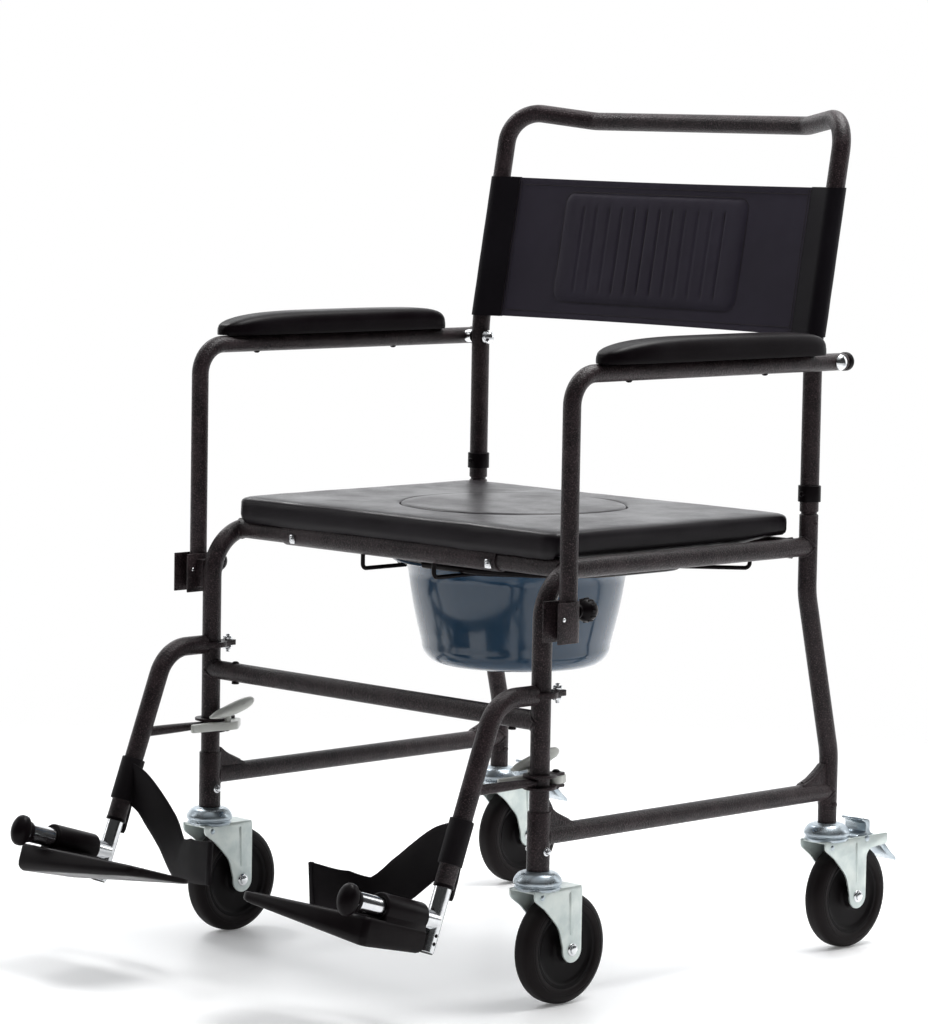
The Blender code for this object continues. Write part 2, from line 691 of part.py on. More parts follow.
def build_arm_socket(label, s):
    x = s * POST_X
    inner = ARM_TUBE_R + GAP
    outer = inner + SOCKET_WALL
    front = POST_Y - SOCKET_FLANGE
    top = SOCKET_LOW_Z + SOCKET_HEIGHT
    middle = (SOCKET_LOW_Z + top) / 2
    clear = circumscribed(inner, 16)
    outline = [(x + outer, front)] + arc((x, POST_Y), outer, 0, 180, 8) + [(x - outer, front)]
    outline += [(x - clear, front)] + arc((x, POST_Y), clear, 180, 0, 8) + [(x + clear, front)]
    socket = plate("arm_socket_" + label, outline, SOCKET_HEIGHT, level_plane(middle), "frame_paint")
    wall_x = POST_X - outer + SOCKET_WALL / 2
    ends = sorted((s * HALF_TRACK, s * wall_x))
    join(socket, block("weld_block", (ends[0], FRONT_Y - SOCKET_BLOCK_HALF, SOCKET_LOW_Z + 0.006),
                       (ends[1], FRONT_Y + SOCKET_BLOCK_HALF, top - 0.006)))
    cut(socket, clear_of_tube(side_tube_path(s)))
    cut(socket, rod("plunger_hole", (x, POST_Y + 0.005, KNOB_Z), (x, POST_Y + 0.02, KNOB_Z),
                    circumscribed(PLUNGER_R + GAP, 12), sides=12))

    wall = outer + GAP
    ball = wall + 0.007 + KNOB_R * 0.7
    profile = [(0, ball + KNOB_R)]
    for angle in map(math.radians, (30, 60, 90, 120, 142)):
        profile.append((KNOB_R * math.sin(angle), ball + KNOB_R * math.cos(angle)))
    profile += [(0.006, ball - KNOB_R * 0.85), (0.006, wall + 0.003), (0.008, wall + 0.003), (0.008, wall),
                (PLUNGER_R, wall), (PLUNGER_R, inner + 0.0001), (0, inner + 0.0001)]
    knob_place = along((0, 1, 0), (x, POST_Y, KNOB_Z))
    turned("arm_lock_knob_" + label, profile, knob_place, "black_plastic", steps=12)


# Seat and pan

def rounded_square(angle, half_x, half_y, corner, draw_in):
    """The edge point of a rounded rectangle in a direction, its sides pulled in between the corners."""
    c, k = math.cos(angle), math.sin(angle)
    power = CORNER_SQUARENESS * (half_x + half_y) / 2 / corner
    reach = (abs(c / half_x) ** power + abs(k / half_y) ** power) ** (-1 / power)
    x, y = reach * c, reach * k
    x *= 1 - draw_in / half_x * max(0.0, 1 - (y / half_y) ** 2) * (abs(x) / half_x) ** 4
    y *= 1 - draw_in / half_y * max(0.0, 1 - (x / half_x) ** 2) * (abs(y) / half_y) ** 4
    return x, y


def build_seat():
    """A crowned pad round a hole, and the flush lid that fills the hole."""
    half_y = SEAT_DEPTH / 2
    middle_y = SEAT_FRONT_Y + half_y
    lid_offset = LID_Y - middle_y
    hole_r = circumscribed(LID_R, 48)
    top = SEAT_THICK
    crown = 0.0015
    edge = [(0.030, top), (0.0075, top - 0.0020), (0.0012, top - 0.0075), (0.0, top * 0.5), (0.0008, 0.0035),
            (0.0035, 0.0)]
    bore = [(0.0, 0.0), (0.0, top - 0.0035), (0.0035, top)]
    rings = []
    corner = math.degrees(math.atan2(half_y, SEAT_HALF_WIDTH))
    quarter = [0, 7.5, 15, 22.5, 29.5] + [corner + step for step in (-3.4, -1.4, 0.2, 1.8, 4.0)]
    quarter += [47.5, 53.5, 60, 67.5, 75, 82.5]
    quarter = [math.radians(a) for a in quarter]
    angles = quarter + [math.pi / 2] + [math.pi - a for a in quarter[:0:-1]]
    angles += [a + math.pi for a in angles]
    count = len(angles)
    for grow, height in bore:
        rings.append([((hole_r + grow) * math.cos(a), lid_offset + (hole_r + grow) * math.sin(a), height)
                      for a in angles])
    for inset, height in edge:
        ring = []
        for a in angles:
            x, y = rounded_square(a, SEAT_HALF_WIDTH - inset, half_y - inset, SEAT_CORNER_R, 0.0015)
            ring.append((x, y, height))
        rings.append(ring)
    mesh = bpy.data.meshes.new("seat_pad")
    shape = bmesh.new()
    rows = [[shape.verts.new(point) for point in ring] for ring in rings]
    for row, following in zip(rows, rows[1:] + rows[:1]):
        for i in range(count):
            k = (i + 1) % count
            shape.faces.new((row[i], row[k], following[k], following[i]))
    bmesh.ops.recalc_face_normals(shape, faces=shape.faces)
    shape.to_mesh(mesh)
    shape.free()
    mesh.transform(Matrix.Translation((0, middle_y, SEAT_LOW_Z)))
    smooth(mesh, 50)
    set_origin(add_object("seat_pad", mesh, "seat_vinyl"), (0, middle_y, SEAT_LOW_Z))

    lid_r = LID_R - LID_CLEARANCE
    lid_top = top + crown
    profile = [(0, lid_top), (lid_r - 0.012, lid_top - 0.0010), (lid_r - 0.003, lid_top - 0.0028),
               (lid_r, lid_top - 0.0065), (lid_r, 0.0), (0, 0.0)]
    turned("seat_lid", profile, along((0, 0, 1), (0, LID_Y, SEAT_LOW_Z)), "seat_vinyl", steps=48)


def build_pan():
    top = PAN_FLANGE_Z + PAN_FLANGE
    wall = PAN_WALL
    floor_low = PAN_FLOOR_Z
    fillet = 0.016
    outer = [(PAN_FLANGE_R, top), (PAN_FLANGE_R, PAN_FLANGE_Z), (PAN_RIM_R, PAN_FLANGE_Z),
             (PAN_FLOOR_R + 0.004, floor_low + fillet), (PAN_FLOOR_R, floor_low + fillet * 0.45),
             (PAN_FLOOR_R - fillet * 0.5, floor_low + 0.0015), (PAN_FLOOR_R - fillet, floor_low),
             (0, floor_low)]
    inner = [(0, floor_low + wall), (PAN_FLOOR_R - fillet, floor_low + wall),
             (PAN_FLOOR_R - wall, floor_low + fillet * 0.6),
             (PAN_FLOOR_R + 0.004 - wall, floor_low + fillet), (PAN_RIM_R - wall, top)]
    pan = turned("commode_pan", inner + outer, along((0, 0, 1), (0, PAN_Y, 0)), "pan_plastic", steps=40)

    lug_outside = PAN_FLANGE_R + 0.001
    bail_z = RUNNER_TOP_Z + GAP + BAIL_R
    for way in (-1, 1):
        ends = sorted((PAN_Y + way * (lug_outside - PAN_LUG_THICK), PAN_Y + way * lug_outside))
        low = (-PAN_LUG_HALF_WIDTH, ends[0], PAN_FLANGE_Z + 0.0006)
        high = (PAN_LUG_HALF_WIDTH, ends[1], PAN_FLANGE_Z + PAN_LUG_HEIGHT)
        join(pan, block("lug", low, high))
    cut(pan, rod("pin_hole", (0, PAN_Y - lug_outside - 0.01, bail_z), (0, PAN_Y + lug_outside + 0.01, bail_z),
                 circumscribed(BAIL_PIN_R + GAP, 8), sides=8))

    half = lug_outside + GAP + BAIL_R
    bail_path = [(0, -half, bail_z), (0.078, -half, bail_z), (0.151, -half * 0.80, bail_z),
                 (BAIL_REACH, -half * 0.42, bail_z), (BAIL_REACH, half * 0.42, bail_z),
                 (0.151, half * 0.80, bail_z), (0.078, half, bail_z), (0, half, bail_z)]
    corners = [(x, PAN_Y + y, z) for x, y, z in bail_path]
    bail = tube("pan_handle", rounded_path(corners, 0.040), BAIL_R, "black_plastic", sides=8)
    for way in (-1, 1):
        outside = (0, PAN_Y + way * half, bail_z)
        inside = (0, PAN_Y + way * (lug_outside - PAN_LUG_THICK), bail_z)
        join(bail, rod("pin", outside, inside, BAIL_PIN_R, sides=8))
    set_origin(bail, (0, PAN_Y, bail_z))

    for label, s in SIDES:
        rail_low = SEAT_RAIL_Z - TUBE_R - GAP
        sleeve_low = SEAT_RAIL_Z - SLEEVE_R - GAP
        front_y = FRONT_Y + FRONT_RAIL_BACK
        rear_y = FRONT_Y + REAR_RAIL_BACK
        hook_y = PAN_Y - math.sqrt(RUNNER_HALF ** 2 - RUNNER_HOOK_HALF ** 2)
        bend_angle = math.degrees(math.asin(RUNNER_HOOK_HALF / RUNNER_HALF))
        round_pan = arc((0, PAN_Y), RUNNER_HALF, -90 + bend_angle, 0, 8)
        corners = [(RUNNER_HOOK_HALF, front_y, sleeve_low), (RUNNER_HOOK_HALF, front_y, RUNNER_Z),
                   (RUNNER_HOOK_HALF, hook_y, RUNNER_Z)]
        path = rounded_path(corners, 0.005, math.radians(30))[:-1]
        path += [Vector((x, y, RUNNER_Z)) for x, y in round_pan]
        tail = [path[-1], Vector((RUNNER_HALF, rear_y - 0.060, RUNNER_Z)),
                Vector((RUNNER_REAR_HALF, rear_y, RUNNER_Z)), Vector((RUNNER_REAR_HALF, rear_y, rail_low))]
        path += rounded_path(tail, 0.005, math.radians(30))[1:]
        mirrored = [(s * p.x, p.y, p.z) for p in path]
        tube("pan_runner_" + label, mirrored, RUNNER_R, "black_plastic", sides=6)


# Footrests

def hanger_axis(z):
    """The Y of the hanger's leaning axis at a height."""
    return FRONT_Y - HANGER_CORNER - (HANGER_Z - z) * math.tan(HANGER_LEAN)


def ring_plate(name, s, z, thickness, radius, tail):
    """A flat strap round the front leg with a tail behind it."""
    x = s * HALF_TRACK
    half = 0.008
    start = math.degrees(math.asin(half / radius))
    outline = arc((x, FRONT_Y), radius, 90 + start, 450 - start, 12)
    outline += [(x + half, FRONT_Y + tail), (x - half, FRONT_Y + tail)]
    return plate(name, outline, thickness, level_plane(z))


def build_hanger(label, s):
    x = s * HALF_TRACK
    lean = Vector((0, -math.sin(HANGER_LEAN), -math.cos(HANGER_LEAN)))
    back_side = Vector((0, math.cos(HANGER_LEAN), -math.sin(HANGER_LEAN)))
    end = Vector((x, hanger_axis(HANGER_END_Z), HANGER_END_Z))
    leg = (x, FRONT_Y, HANGER_Z)
    hanger = tube("footrest_hanger_" + label, rounded_path([leg, (x, FRONT_Y - HANGER_CORNER, HANGER_Z), end],
                                                           HANGER_BEND_R), TUBE_R, "frame_paint")
    join(hanger, ring_plate("upper_strap", s, HANGER_Z, STRAP_THICK, STRAP_R, STRAP_TAIL))
    arm_start = (x, hanger_axis(LOWER_ARM_Z), LOWER_ARM_Z)
    join(hanger, rod("lower_arm", arm_start, (x, FRONT_Y - 0.004, LOWER_ARM_Z), LOWER_ARM_R, sides=12))
    for offset in (-LEAF_OFFSET, LEAF_OFFSET):
        z = LOWER_ARM_Z + offset
        join(hanger, ring_plate("leaf", s, z, LEAF_THICK, STRAP_R, STRAP_TAIL))
    tab = end + back_side * (TUBE_R + 0.0005)
    tab_outline = [(0, -0.004), (0.030, -0.004), (0.030, 0.003), (0, 0.003)]
    tab_frame = Matrix.Identity(4)
    for i, axis in enumerate((lean, back_side, lean.cross(back_side))):
        for k in range(3):
            tab_frame[k][i] = axis[k]
    tab_frame.translation = tab - lean * 0.018
    join(hanger, plate("lock_tab", tab_outline, 0.008, tab_frame))
    bore_start = end - lean * (EXTENSION_INSIDE + 0.002)
    cut(hanger, clear_of_leg(x, FRONT_Y, LOWER_ARM_Z - 0.04, HANGER_Z + 0.04))
    cut(hanger, rod("bore", bore_start, end + lean * 0.02, circumscribed(EXTENSION_R + GAP, 16), sides=16))
    bolt_y = FRONT_Y + STRAP_BOLT_BACK
    for z in (LOWER_ARM_Z, HANGER_Z):
        cut(hanger, rod("bolt_hole", (x, bolt_y, z - 0.02), (x, bolt_y, z + 0.02),
                        circumscribed(LATCH_PIN_R + GAP, 12), sides=12))
    hanger_mesh = welded(baked(hanger))
    smooth(hanger_mesh)
    set_origin(add_object("footrest_hanger_" + label, hanger_mesh, "frame_paint"), leg)

    half = STRAP_THICK / 2 + GAP
    bolt = [(0, half + 0.006), (0.005, half + 0.006), (0.005, half), (LATCH_PIN_R, half),
            (LATCH_PIN_R, -half), (0.005, -half), (0.005, -half - 0.005), (LATCH_PIN_R, -half - 0.005),
            (LATCH_PIN_R, -half - 0.009), (0, -half - 0.009)]
    obj = turned("footrest_bolt_" + label, bolt, along((0, 0, 1), (x, bolt_y, HANGER_Z)), "chrome", steps=12)
    set_origin(obj, leg)
    build_latch(label, s)
    build_extension(label, s, end, lean)
    build_heel_strap(label, s, end, lean)


def build_latch(label, s):
    """A lever between the two leaves, turning on the pin behind the leg."""
    x, z = s * HALF_TRACK, LOWER_ARM_Z
    pivot = (x, FRONT_Y + STRAP_BOLT_BACK, z)
    inside = -s
    half = LEAF_OFFSET - LEAF_THICK / 2 - GAP
    clear = TUBE_R + 3 * GAP
    hub_y = FRONT_Y + STRAP_BOLT_BACK
    body = [(0.006, clear + 0.004), (clear + 0.002, 0.006), (clear + 0.002, -0.044), (clear + 0.009, -0.046),
            (clear + 0.012, -0.010), (clear + 0.017, 0.004), (clear + 0.017, 0.018), (0.016, hub_y - FRONT_Y + 0.006),
            (0.010, hub_y - FRONT_Y + 0.014), (-0.004, hub_y - FRONT_Y + 0.014), (-0.006, hub_y - FRONT_Y - 0.004)]
    outline = [(x + across * inside, FRONT_Y + back) for across, back in body]
    lever = plate("footrest_latch_" + label, outline, 2 * half, level_plane(z), "latch_plastic")
    rings = []
    for across, behind, up, breadth, depth in LATCH_PADDLE:
        middle = Vector((x + across * inside, FRONT_Y + behind, z + up))
        oval = arc((0, 0), 1, 0, 360, PADDLE_SIDES)[:-1]
        rings.append([(middle.x + breadth * c, middle.y, middle.z + depth * k) for c, k in oval])
    foot_across, foot_back, foot_up = PADDLE_FOOT
    foot = Vector((x + foot_across * inside, FRONT_Y + foot_back, z))
    join(lever, loft("paddle", rings),
         rod("paddle_foot", foot, foot + Vector((0, 0, foot_up)), PADDLE_FOOT_R, sides=10))
    cut(lever, rod("pin_hole", (x, hub_y, z - 0.02), (x, hub_y, z + 0.02),
                   circumscribed(LATCH_PIN_R + GAP, 12), sides=12))
    set_origin(lever, pivot)
    high = LEAF_OFFSET + LEAF_THICK / 2 + GAP
    pin_top = [(0, high + 0.003), (0.0045, high + 0.003), (0.0045, high), (LATCH_PIN_R, high)]
    pin = pin_top + [(radius, -height) for radius, height in pin_top[::-1]]
    obj = turned("latch_pin_" + label, pin, along((0, 0, 1), pivot), "black_plastic", steps=12)
    set_origin(obj, (x, FRONT_Y, HANGER_Z))


def build_extension(label, s, end, lean):
    x = s * HALF_TRACK
    forward = Vector((0, -math.cos(SPIGOT_TILT), math.sin(SPIGOT_TILT)))
    up = Vector((0, math.sin(SPIGOT_TILT), math.cos(SPIGOT_TILT)))
    root = Vector((x, hanger_axis(SPIGOT_Z), SPIGOT_Z))
    top = end - lean * EXTENSION_INSIDE
    low = Vector((x, hanger_axis(EXTENSION_END_Z), EXTENSION_END_Z))
    tip = root + forward * SPIGOT_LENGTH
    extension = rod("footrest_extension_" + label, top, low, EXTENSION_R, "chrome")
    join(extension, rod("spigot", root, tip, SPIGOT_R))
    set_origin(extension, end)

    plate_frame = Matrix.Identity(4)
    inboard = Vector((-s, 0, 0))
    for i, axis in enumerate((inboard, forward, up)):
        for k in range(3):
            plate_frame[k][i] = axis[k]
    plate_frame.translation = root
    sleeve_start = root + forward * (PLATE_START - 0.0007)
    footplate = rod("footplate_" + label, sleeve_start, sleeve_start + forward * PLATE_SLEEVE_LENGTH,
                    PLATE_SLEEVE_R, "black_plastic", sides=16)
    far = PLATE_START + PLATE_DEPTH
    corner = 0.014
    outline = [(-PLATE_OUT, PLATE_START)] + [(-PLATE_OUT, far - 0.006), (-PLATE_OUT + 0.006, far)]
    outline += arc((PLATE_IN - corner, far - corner), corner, 90, 0, 3)
    outline += arc((PLATE_IN - corner, PLATE_START + corner), corner, 0, -90, 3)
    rows = []
    for level in (0, 1):
        ring = []
        for across, depth in outline:
            share = (across + PLATE_OUT) / (PLATE_IN + PLATE_OUT)
            low_edge = PLATE_EDGE_LOW + (PLATE_TIP_LOW - PLATE_EDGE_LOW) * share
            low_edge -= PLATE_TOE_DROP * (depth - PLATE_START) / PLATE_DEPTH
            ring.append(plate_frame @ Vector((across, depth, PLATE_TOP if level else low_edge)))
        rows.append(ring)
    tread = loft("tread", rows)
    rib_low = PLATE_TOP - 0.002
    rib_high = (PLATE_OUT - 0.002, PLATE_SLEEVE_LENGTH - 0.001, 0.002)
    rib = block("rib", (0.001 - PLATE_OUT, 0.001, rib_low), rib_high)
    rib.matrix_world = plate_frame @ Matrix.Translation((0, PLATE_START, 0))
    join(footplate, tread, rib)
    cut(footplate, rod("bore", root, tip, circumscribed(SPIGOT_R + GAP, 16), sides=16))
    set_origin(footplate, root)

    dome = [(0, CAP_LENGTH), (CAP_CROWN_R, CAP_CROWN_LENGTH), (CAP_HALF_HEIGHT * 0.88, CAP_LENGTH * 0.72),
            (CAP_HALF_HEIGHT, CAP_LENGTH * 0.42), (CAP_HALF_HEIGHT, 0.003), (CAP_HALF_HEIGHT - 0.002, 0), (0, 0)]
    narrow = Matrix.Diagonal((CAP_HALF_WIDTH / CAP_HALF_HEIGHT, 1, 1, 1))
    cap_place = along(forward, tip + forward * GAP) @ narrow
    cap = turned("footrest_end_cap_" + label, dome, cap_place, "black_plastic", steps=14)
    set_origin(cap, end)


def build_heel_strap(label, s, end, lean):
    """A web band from a sleeve on the hanger to the inboard end of the footplate."""
    x = s * HALF_TRACK
    sleeve_low = end - lean * 0.024
    sleeve_high = sleeve_low - lean * HEEL_STRAP_WIDTH
    strap = rod("heel_strap_" + label, sleeve_low, sleeve_high, TUBE_R + GAP + 0.0022, "webbing", sides=16)
    half = HEEL_STRAP_WIDTH / 2
    rings = []
    t = HEEL_STRAP_THICK / 2
    for i, (inboard, behind, z, turn) in enumerate(HEEL_STRAP_RUN):
        before, after = HEEL_STRAP_RUN[max(0, i - 1)], HEEL_STRAP_RUN[min(len(HEEL_STRAP_RUN) - 1, i + 1)]
        run = Vector((after[0] - before[0], after[1] - before[1]))
        side = Vector((-run.y, run.x)).normalized() * t
        over, up = half * math.sin(math.radians(turn)), half * math.cos(math.radians(turn))
        ring = []
        for way_side, way_up in ((-1, -1), (1, -1), (1, 1), (-1, 1)):
            across = inboard + way_side * side.x + way_up * over
            ring.append((x - s * across, FRONT_Y + behind + way_side * side.y, z + way_up * up))
        rings.append(ring)
    join(strap, loft("band", rings))
    bore = (end, end - lean * 0.12)
    cut(strap, rod("clear", bore[0], bore[1], circumscribed(TUBE_R + GAP, 16), sides=16))
    set_origin(strap, (x, FRONT_Y, HANGER_Z))


# Castors

def fork_mesh(braked):
    """A fork about its swivel axis, with the wheel trailing to +Y."""
    plate_top = CASTOR_TOP_Z - DOME_HEIGHT
    r = 0.0145
    y, z = CASTOR_TRAIL, WHEEL_R
    back = PEDAL_PIN_BACK + 0.038 if braked else y + r
    outline = [(-0.024, plate_top), (-0.024, plate_top - 0.010), (-0.012, plate_top - 0.018),
               (y - r - 0.004, z + 0.022), (y - r, z)]
    outline += arc((y, z), r, 180, 360, 6)
    if braked:
        outline += [(y + r, plate_top - 0.020), (y + r + 0.004, plate_top - 0.015), (back, plate_top - 0.013)]
    outline += [(back, plate_top)]
    offset = FORK_HALF_INSIDE + FORK_PLATE / 2
    fork = plate("fork", outline, FORK_PLATE, side_plane(offset))
    other = plate("fork_other", outline, FORK_PLATE, side_plane(-offset))
    wide = FORK_HALF_INSIDE + FORK_PLATE
    roof_low = plate_top - FORK_PLATE
    roof_back = PEDAL_PIN_BACK - 0.024 if braked else back
    inset = FORK_PLATE / 2
    roof = block("roof", (inset - wide, -0.0235, roof_low), (wide - inset, roof_back, plate_top - 0.0004))
    dome = [(0, CASTOR_TOP_Z), (DOME_R * 0.55, CASTOR_TOP_Z - 0.0006), (DOME_R * 0.86, CASTOR_TOP_Z - 0.004),
            (DOME_R, CASTOR_TOP_Z - 0.010), (DOME_R, plate_top + 0.0015), (DOME_R - 0.003, roof_low + 0.0005),
            (0, roof_low + 0.0005)]
    join(fork, other, roof, turned("dome", dome, Matrix.Identity(4), steps=18))
    cut(fork, rod("axle_hole", (-0.04, y, z), (0.04, y, z), circumscribed(AXLE_R + GAP, 12), sides=12))
    if braked:
        cut(fork, rod("pin_hole", (-0.04, PEDAL_PIN_BACK, PEDAL_PIN_Z), (0.04, PEDAL_PIN_BACK, PEDAL_PIN_Z),
                      circumscribed(PEDAL_PIN_R + GAP, 10), sides=10))
    mesh = baked(fork)
    smooth(mesh)
    return mesh


def wheel_mesh():
    w = WHEEL_HALF_WIDTH
    rim = WHEEL_R - 0.014
    bore = circumscribed(AXLE_R + GAP, 28)
    half = [(bore, w + 0.002), (0.0130, w + 0.002), (0.0150, w - 0.004), (rim, w - 0.004),
            (rim + 0.0015, w), (WHEEL_R, w * 0.5)]
    profile = half + [(r, -h) for r, h in half[::-1]]
    wheel = turned("wheel", profile, along((1, 0, 0), (0, 0, 0)), steps=28, closed=True)
    mesh = baked(wheel)
    smooth(mesh)
    return mesh


def axle_mesh():
    outer = FORK_HALF_INSIDE + FORK_PLATE + GAP
    head = [(0, outer + AXLE_HEAD), (AXLE_HEAD_R - 0.001, outer + AXLE_HEAD),
            (AXLE_HEAD_R, outer + AXLE_HEAD * 0.6), (AXLE_HEAD_R, outer), (AXLE_R, outer)]
    nut = [(AXLE_R, -outer), (AXLE_HEAD_R, -outer), (AXLE_HEAD_R, -outer - AXLE_HEAD)]
    nut.append((0, -outer - AXLE_HEAD))
    profile = head + nut
    mesh = baked(turned("axle", profile, along((1, 0, 0), (0, 0, 0)), steps=12))
    smooth(mesh)
    return mesh


def pedal_mesh():
    """A rocking lever about its pin, with a heel tab above the fork and a long toe blade behind it."""
    toe = PEDAL_REACH - PEDAL_PIN_BACK
    half = FORK_HALF_INSIDE - 0.0015
    blade = [(-0.016, 0.0010), (-0.004, -0.0035), (0.016, -0.0055), (0.030, -0.013), (0.044, -0.026),
             (toe, -0.0345), (toe - 0.0015, -0.0300), (0.047, -0.020), (0.034, -0.0065), (0.020, 0.0015)]
    heel_tab = [(0.010, 0.0055), (0.0095, 0.0205), (-0.004, 0.0235), (-0.005, 0.0205), (0.002, 0.0180),
                (0.002, 0.0055), (-0.012, 0.0045)]
    pedal = plate("pedal", blade + heel_tab, 2 * half, side_plane(0))
    pin_half = FORK_HALF_INSIDE + FORK_PLATE + 0.001
    join(pedal, rod("pin", (-pin_half, 0, 0), (pin_half, 0, 0), PEDAL_PIN_R, sides=10))
    mesh = baked(pedal)
    smooth(mesh)
    return mesh


def build_castors():
    forks = {braked: fork_mesh(braked) for braked in (False, True)}
    wheel, axle, pedal = wheel_mesh(), axle_mesh(), pedal_mesh()
    for label, s in SIDES:
        for end, leg_y, braked in (("front", FRONT_Y, False), ("rear", REAR_LOW_Y, True)):
            place = "_%s_%s" % (end, label)
            swivel = Vector((s * HALF_TRACK, leg_y, 0))
            hub = swivel + Vector((0, CASTOR_TRAIL, WHEEL_R))
            add_object("castor_fork" + place, forks[braked], "zinc").location = swivel
            add_object("castor_wheel" + place, wheel, "tyre_rubber").location = hub
            add_object("castor_axle" + place, axle, "chrome").location = hub
            if braked:
                pin = swivel + Vector((0, PEDAL_PIN_BACK, PEDAL_PIN_Z))
                add_object("brake_pedal_" + label, pedal, "zinc").location = pin


for side_label, side_sign in SIDES:
    build_side_frame(side_label, side_sign)
    build_armrest(side_label, side_sign)
    build_arm_socket(side_label, side_sign)
    build_hanger(side_label, side_sign)
build_cross_rails()
build_backrest()
build_seat()
build_pan()
build_castors()
bpy.context.view_layer.update()
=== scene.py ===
"""Looks of the commode wheelchair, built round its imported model.

Metres, +Z up. The chair faces -Y and +X is the user's left."""

import math

import bmesh
import bpy
from mathutils import Matrix, Vector, noise


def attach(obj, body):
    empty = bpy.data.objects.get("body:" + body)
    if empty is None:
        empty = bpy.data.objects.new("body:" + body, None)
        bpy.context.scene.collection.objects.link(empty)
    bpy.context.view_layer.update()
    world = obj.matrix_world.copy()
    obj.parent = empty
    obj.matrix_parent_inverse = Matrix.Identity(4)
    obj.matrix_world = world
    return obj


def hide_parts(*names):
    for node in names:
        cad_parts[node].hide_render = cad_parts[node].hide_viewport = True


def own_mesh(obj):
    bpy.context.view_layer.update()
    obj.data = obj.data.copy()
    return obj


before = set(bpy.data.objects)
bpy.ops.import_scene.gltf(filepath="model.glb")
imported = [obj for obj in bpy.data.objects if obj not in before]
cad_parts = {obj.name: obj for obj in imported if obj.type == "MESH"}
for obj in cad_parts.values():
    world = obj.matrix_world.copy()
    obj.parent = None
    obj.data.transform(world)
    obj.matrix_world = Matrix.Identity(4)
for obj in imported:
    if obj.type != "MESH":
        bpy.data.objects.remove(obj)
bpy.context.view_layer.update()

# Tube stock and clearances
GAP = 0.0003
TUBE_R = 0.011
SLEEVE_R = 0.0128
ARM_TUBE_R = 0.010
EXTENSION_R = 0.0095
SPIGOT_R = 0.011
TUBE_SIDES = 32
BEND_STEP = math.radians(5)
HEAD_LIP = 0.0006
WELD_BEAD_R = 0.0015

# Frame: distances in Y are measured back from the axis of the front legs
HALF_TRACK = 0.270
WHEELBASE = 0.487
REAR_LEG_SET_FORWARD = 0.0465
SEAT_RAIL_Z = 0.480
SEAT_BEND_R = 0.055
LOWER_RAIL_Z = 0.190
CROSSBAR_Z = 0.316
FRONT_RAIL_BACK = 0.042
REAR_RAIL_BACK = 0.412
RAIL_SET_IN = 0.003
RAIL_SLEEVE_HALF = 0.175
RAIL_SLEEVE_X = -0.009
LEG_SLEEVE_TOP_Z = 0.217
KINK_LOW_Z = 0.235
KINK_HIGH_Z = 0.425
KINK_R = 0.09
NECK_DROP = 0.0225
# Each row: the way up from the neck's middle, and the share of the leg's radius
NECK = ((-0.0022, 1.0), (-0.0012, 0.90), (-0.0008, 0.84), (0.0008, 0.84), (0.0012, 0.90), (0.0022, 1.0))
LEG_BUTTON_Z = 0.174
SEAT_BUTTONS = ((-0.1630, SLEEVE_R), (0.1570, SLEEVE_R))
CROSSBAR_SCREW_X = 0.227

# Castors
WHEEL_R = 0.0625
WHEEL_HALF_WIDTH = 0.0135
RIM_R = WHEEL_R - 0.0165
CASTOR_TRAIL = 0.036
CASTOR_TOP_Z = 0.152
DOME_R = 0.027
DOME_HEIGHT = 0.019
FORK_PLATE = 0.0028
FORK_HALF_INSIDE = 0.0172
FORK_END_R = 0.0145
AXLE_R = 0.004
AXLE_HEAD_R = 0.0075
PEDAL_REACH = 0.111
PEDAL_PIN_BACK = 0.0505
PEDAL_PIN_Z = 0.1302

# Backrest
JOINT_Z = 0.5415
COLLAR_HALF = 0.0095
LEAN_START_Z = 0.715
LEAN = math.radians(10.3)
HANDLE_Z = 0.977
HANDLE_BAR_Z = 0.964
HANDLE_BACK = 0.537
HANDLE_BAR_HALF = 0.172
BACK_BEND_RADII = [0.15, 0.040, 0.030, 0.030, 0.040, 0.15]

# Sling: a padded panel with sewn channels, between two sleeves on the uprights
SLING_LOW_Z = 0.7225
SLING_HIGH_Z = 0.894
CLOTH_HALF = 0.0009
SLING_SAG = 0.0012
SLING_EDGE_DROOP = 0.0012
SLEEVE_CLEAR = 0.0007
SLEEVE_WALL = 0.0011
SLEEVE_SEAM = 0.0335
SLEEVE_TUCK = 0.004
PANEL_X = -0.006
PANEL_HALF = 0.148
PANEL_LOW, PANEL_HIGH = SLING_LOW_Z + 0.022, SLING_HIGH_Z - 0.016
PANEL_HALF_Z = (PANEL_HIGH - PANEL_LOW) / 2
PANEL_MIDDLE_Z = (PANEL_LOW + PANEL_HIGH) / 2
PANEL_CORNER = 0.016
PANEL_PUFF, PANEL_PUFF_REACH = 0.0021, 0.0040
PANEL_SEAM_DEPTH, PANEL_SEAM_REACH = 0.0011, 0.0016
CHANNEL_DEPTH, CHANNEL_REACH = 0.0013, 0.0011
CHANNELS = 12
CHANNEL_HALF_SPAN = 0.1135
CHANNEL_PITCH = 2 * CHANNEL_HALF_SPAN / (CHANNELS - 1)
CHANNEL_LINES = [PANEL_X - CHANNEL_HALF_SPAN + CHANNEL_PITCH * i for i in range(CHANNELS)]
CHANNEL_LOW, CHANNEL_HIGH = 0.7575, 0.861
CHANNEL_FADE = 0.003
THREAD_R = 0.00042
STITCH_STEP = 0.0032
SEAM_STITCH_STEP = 0.0036

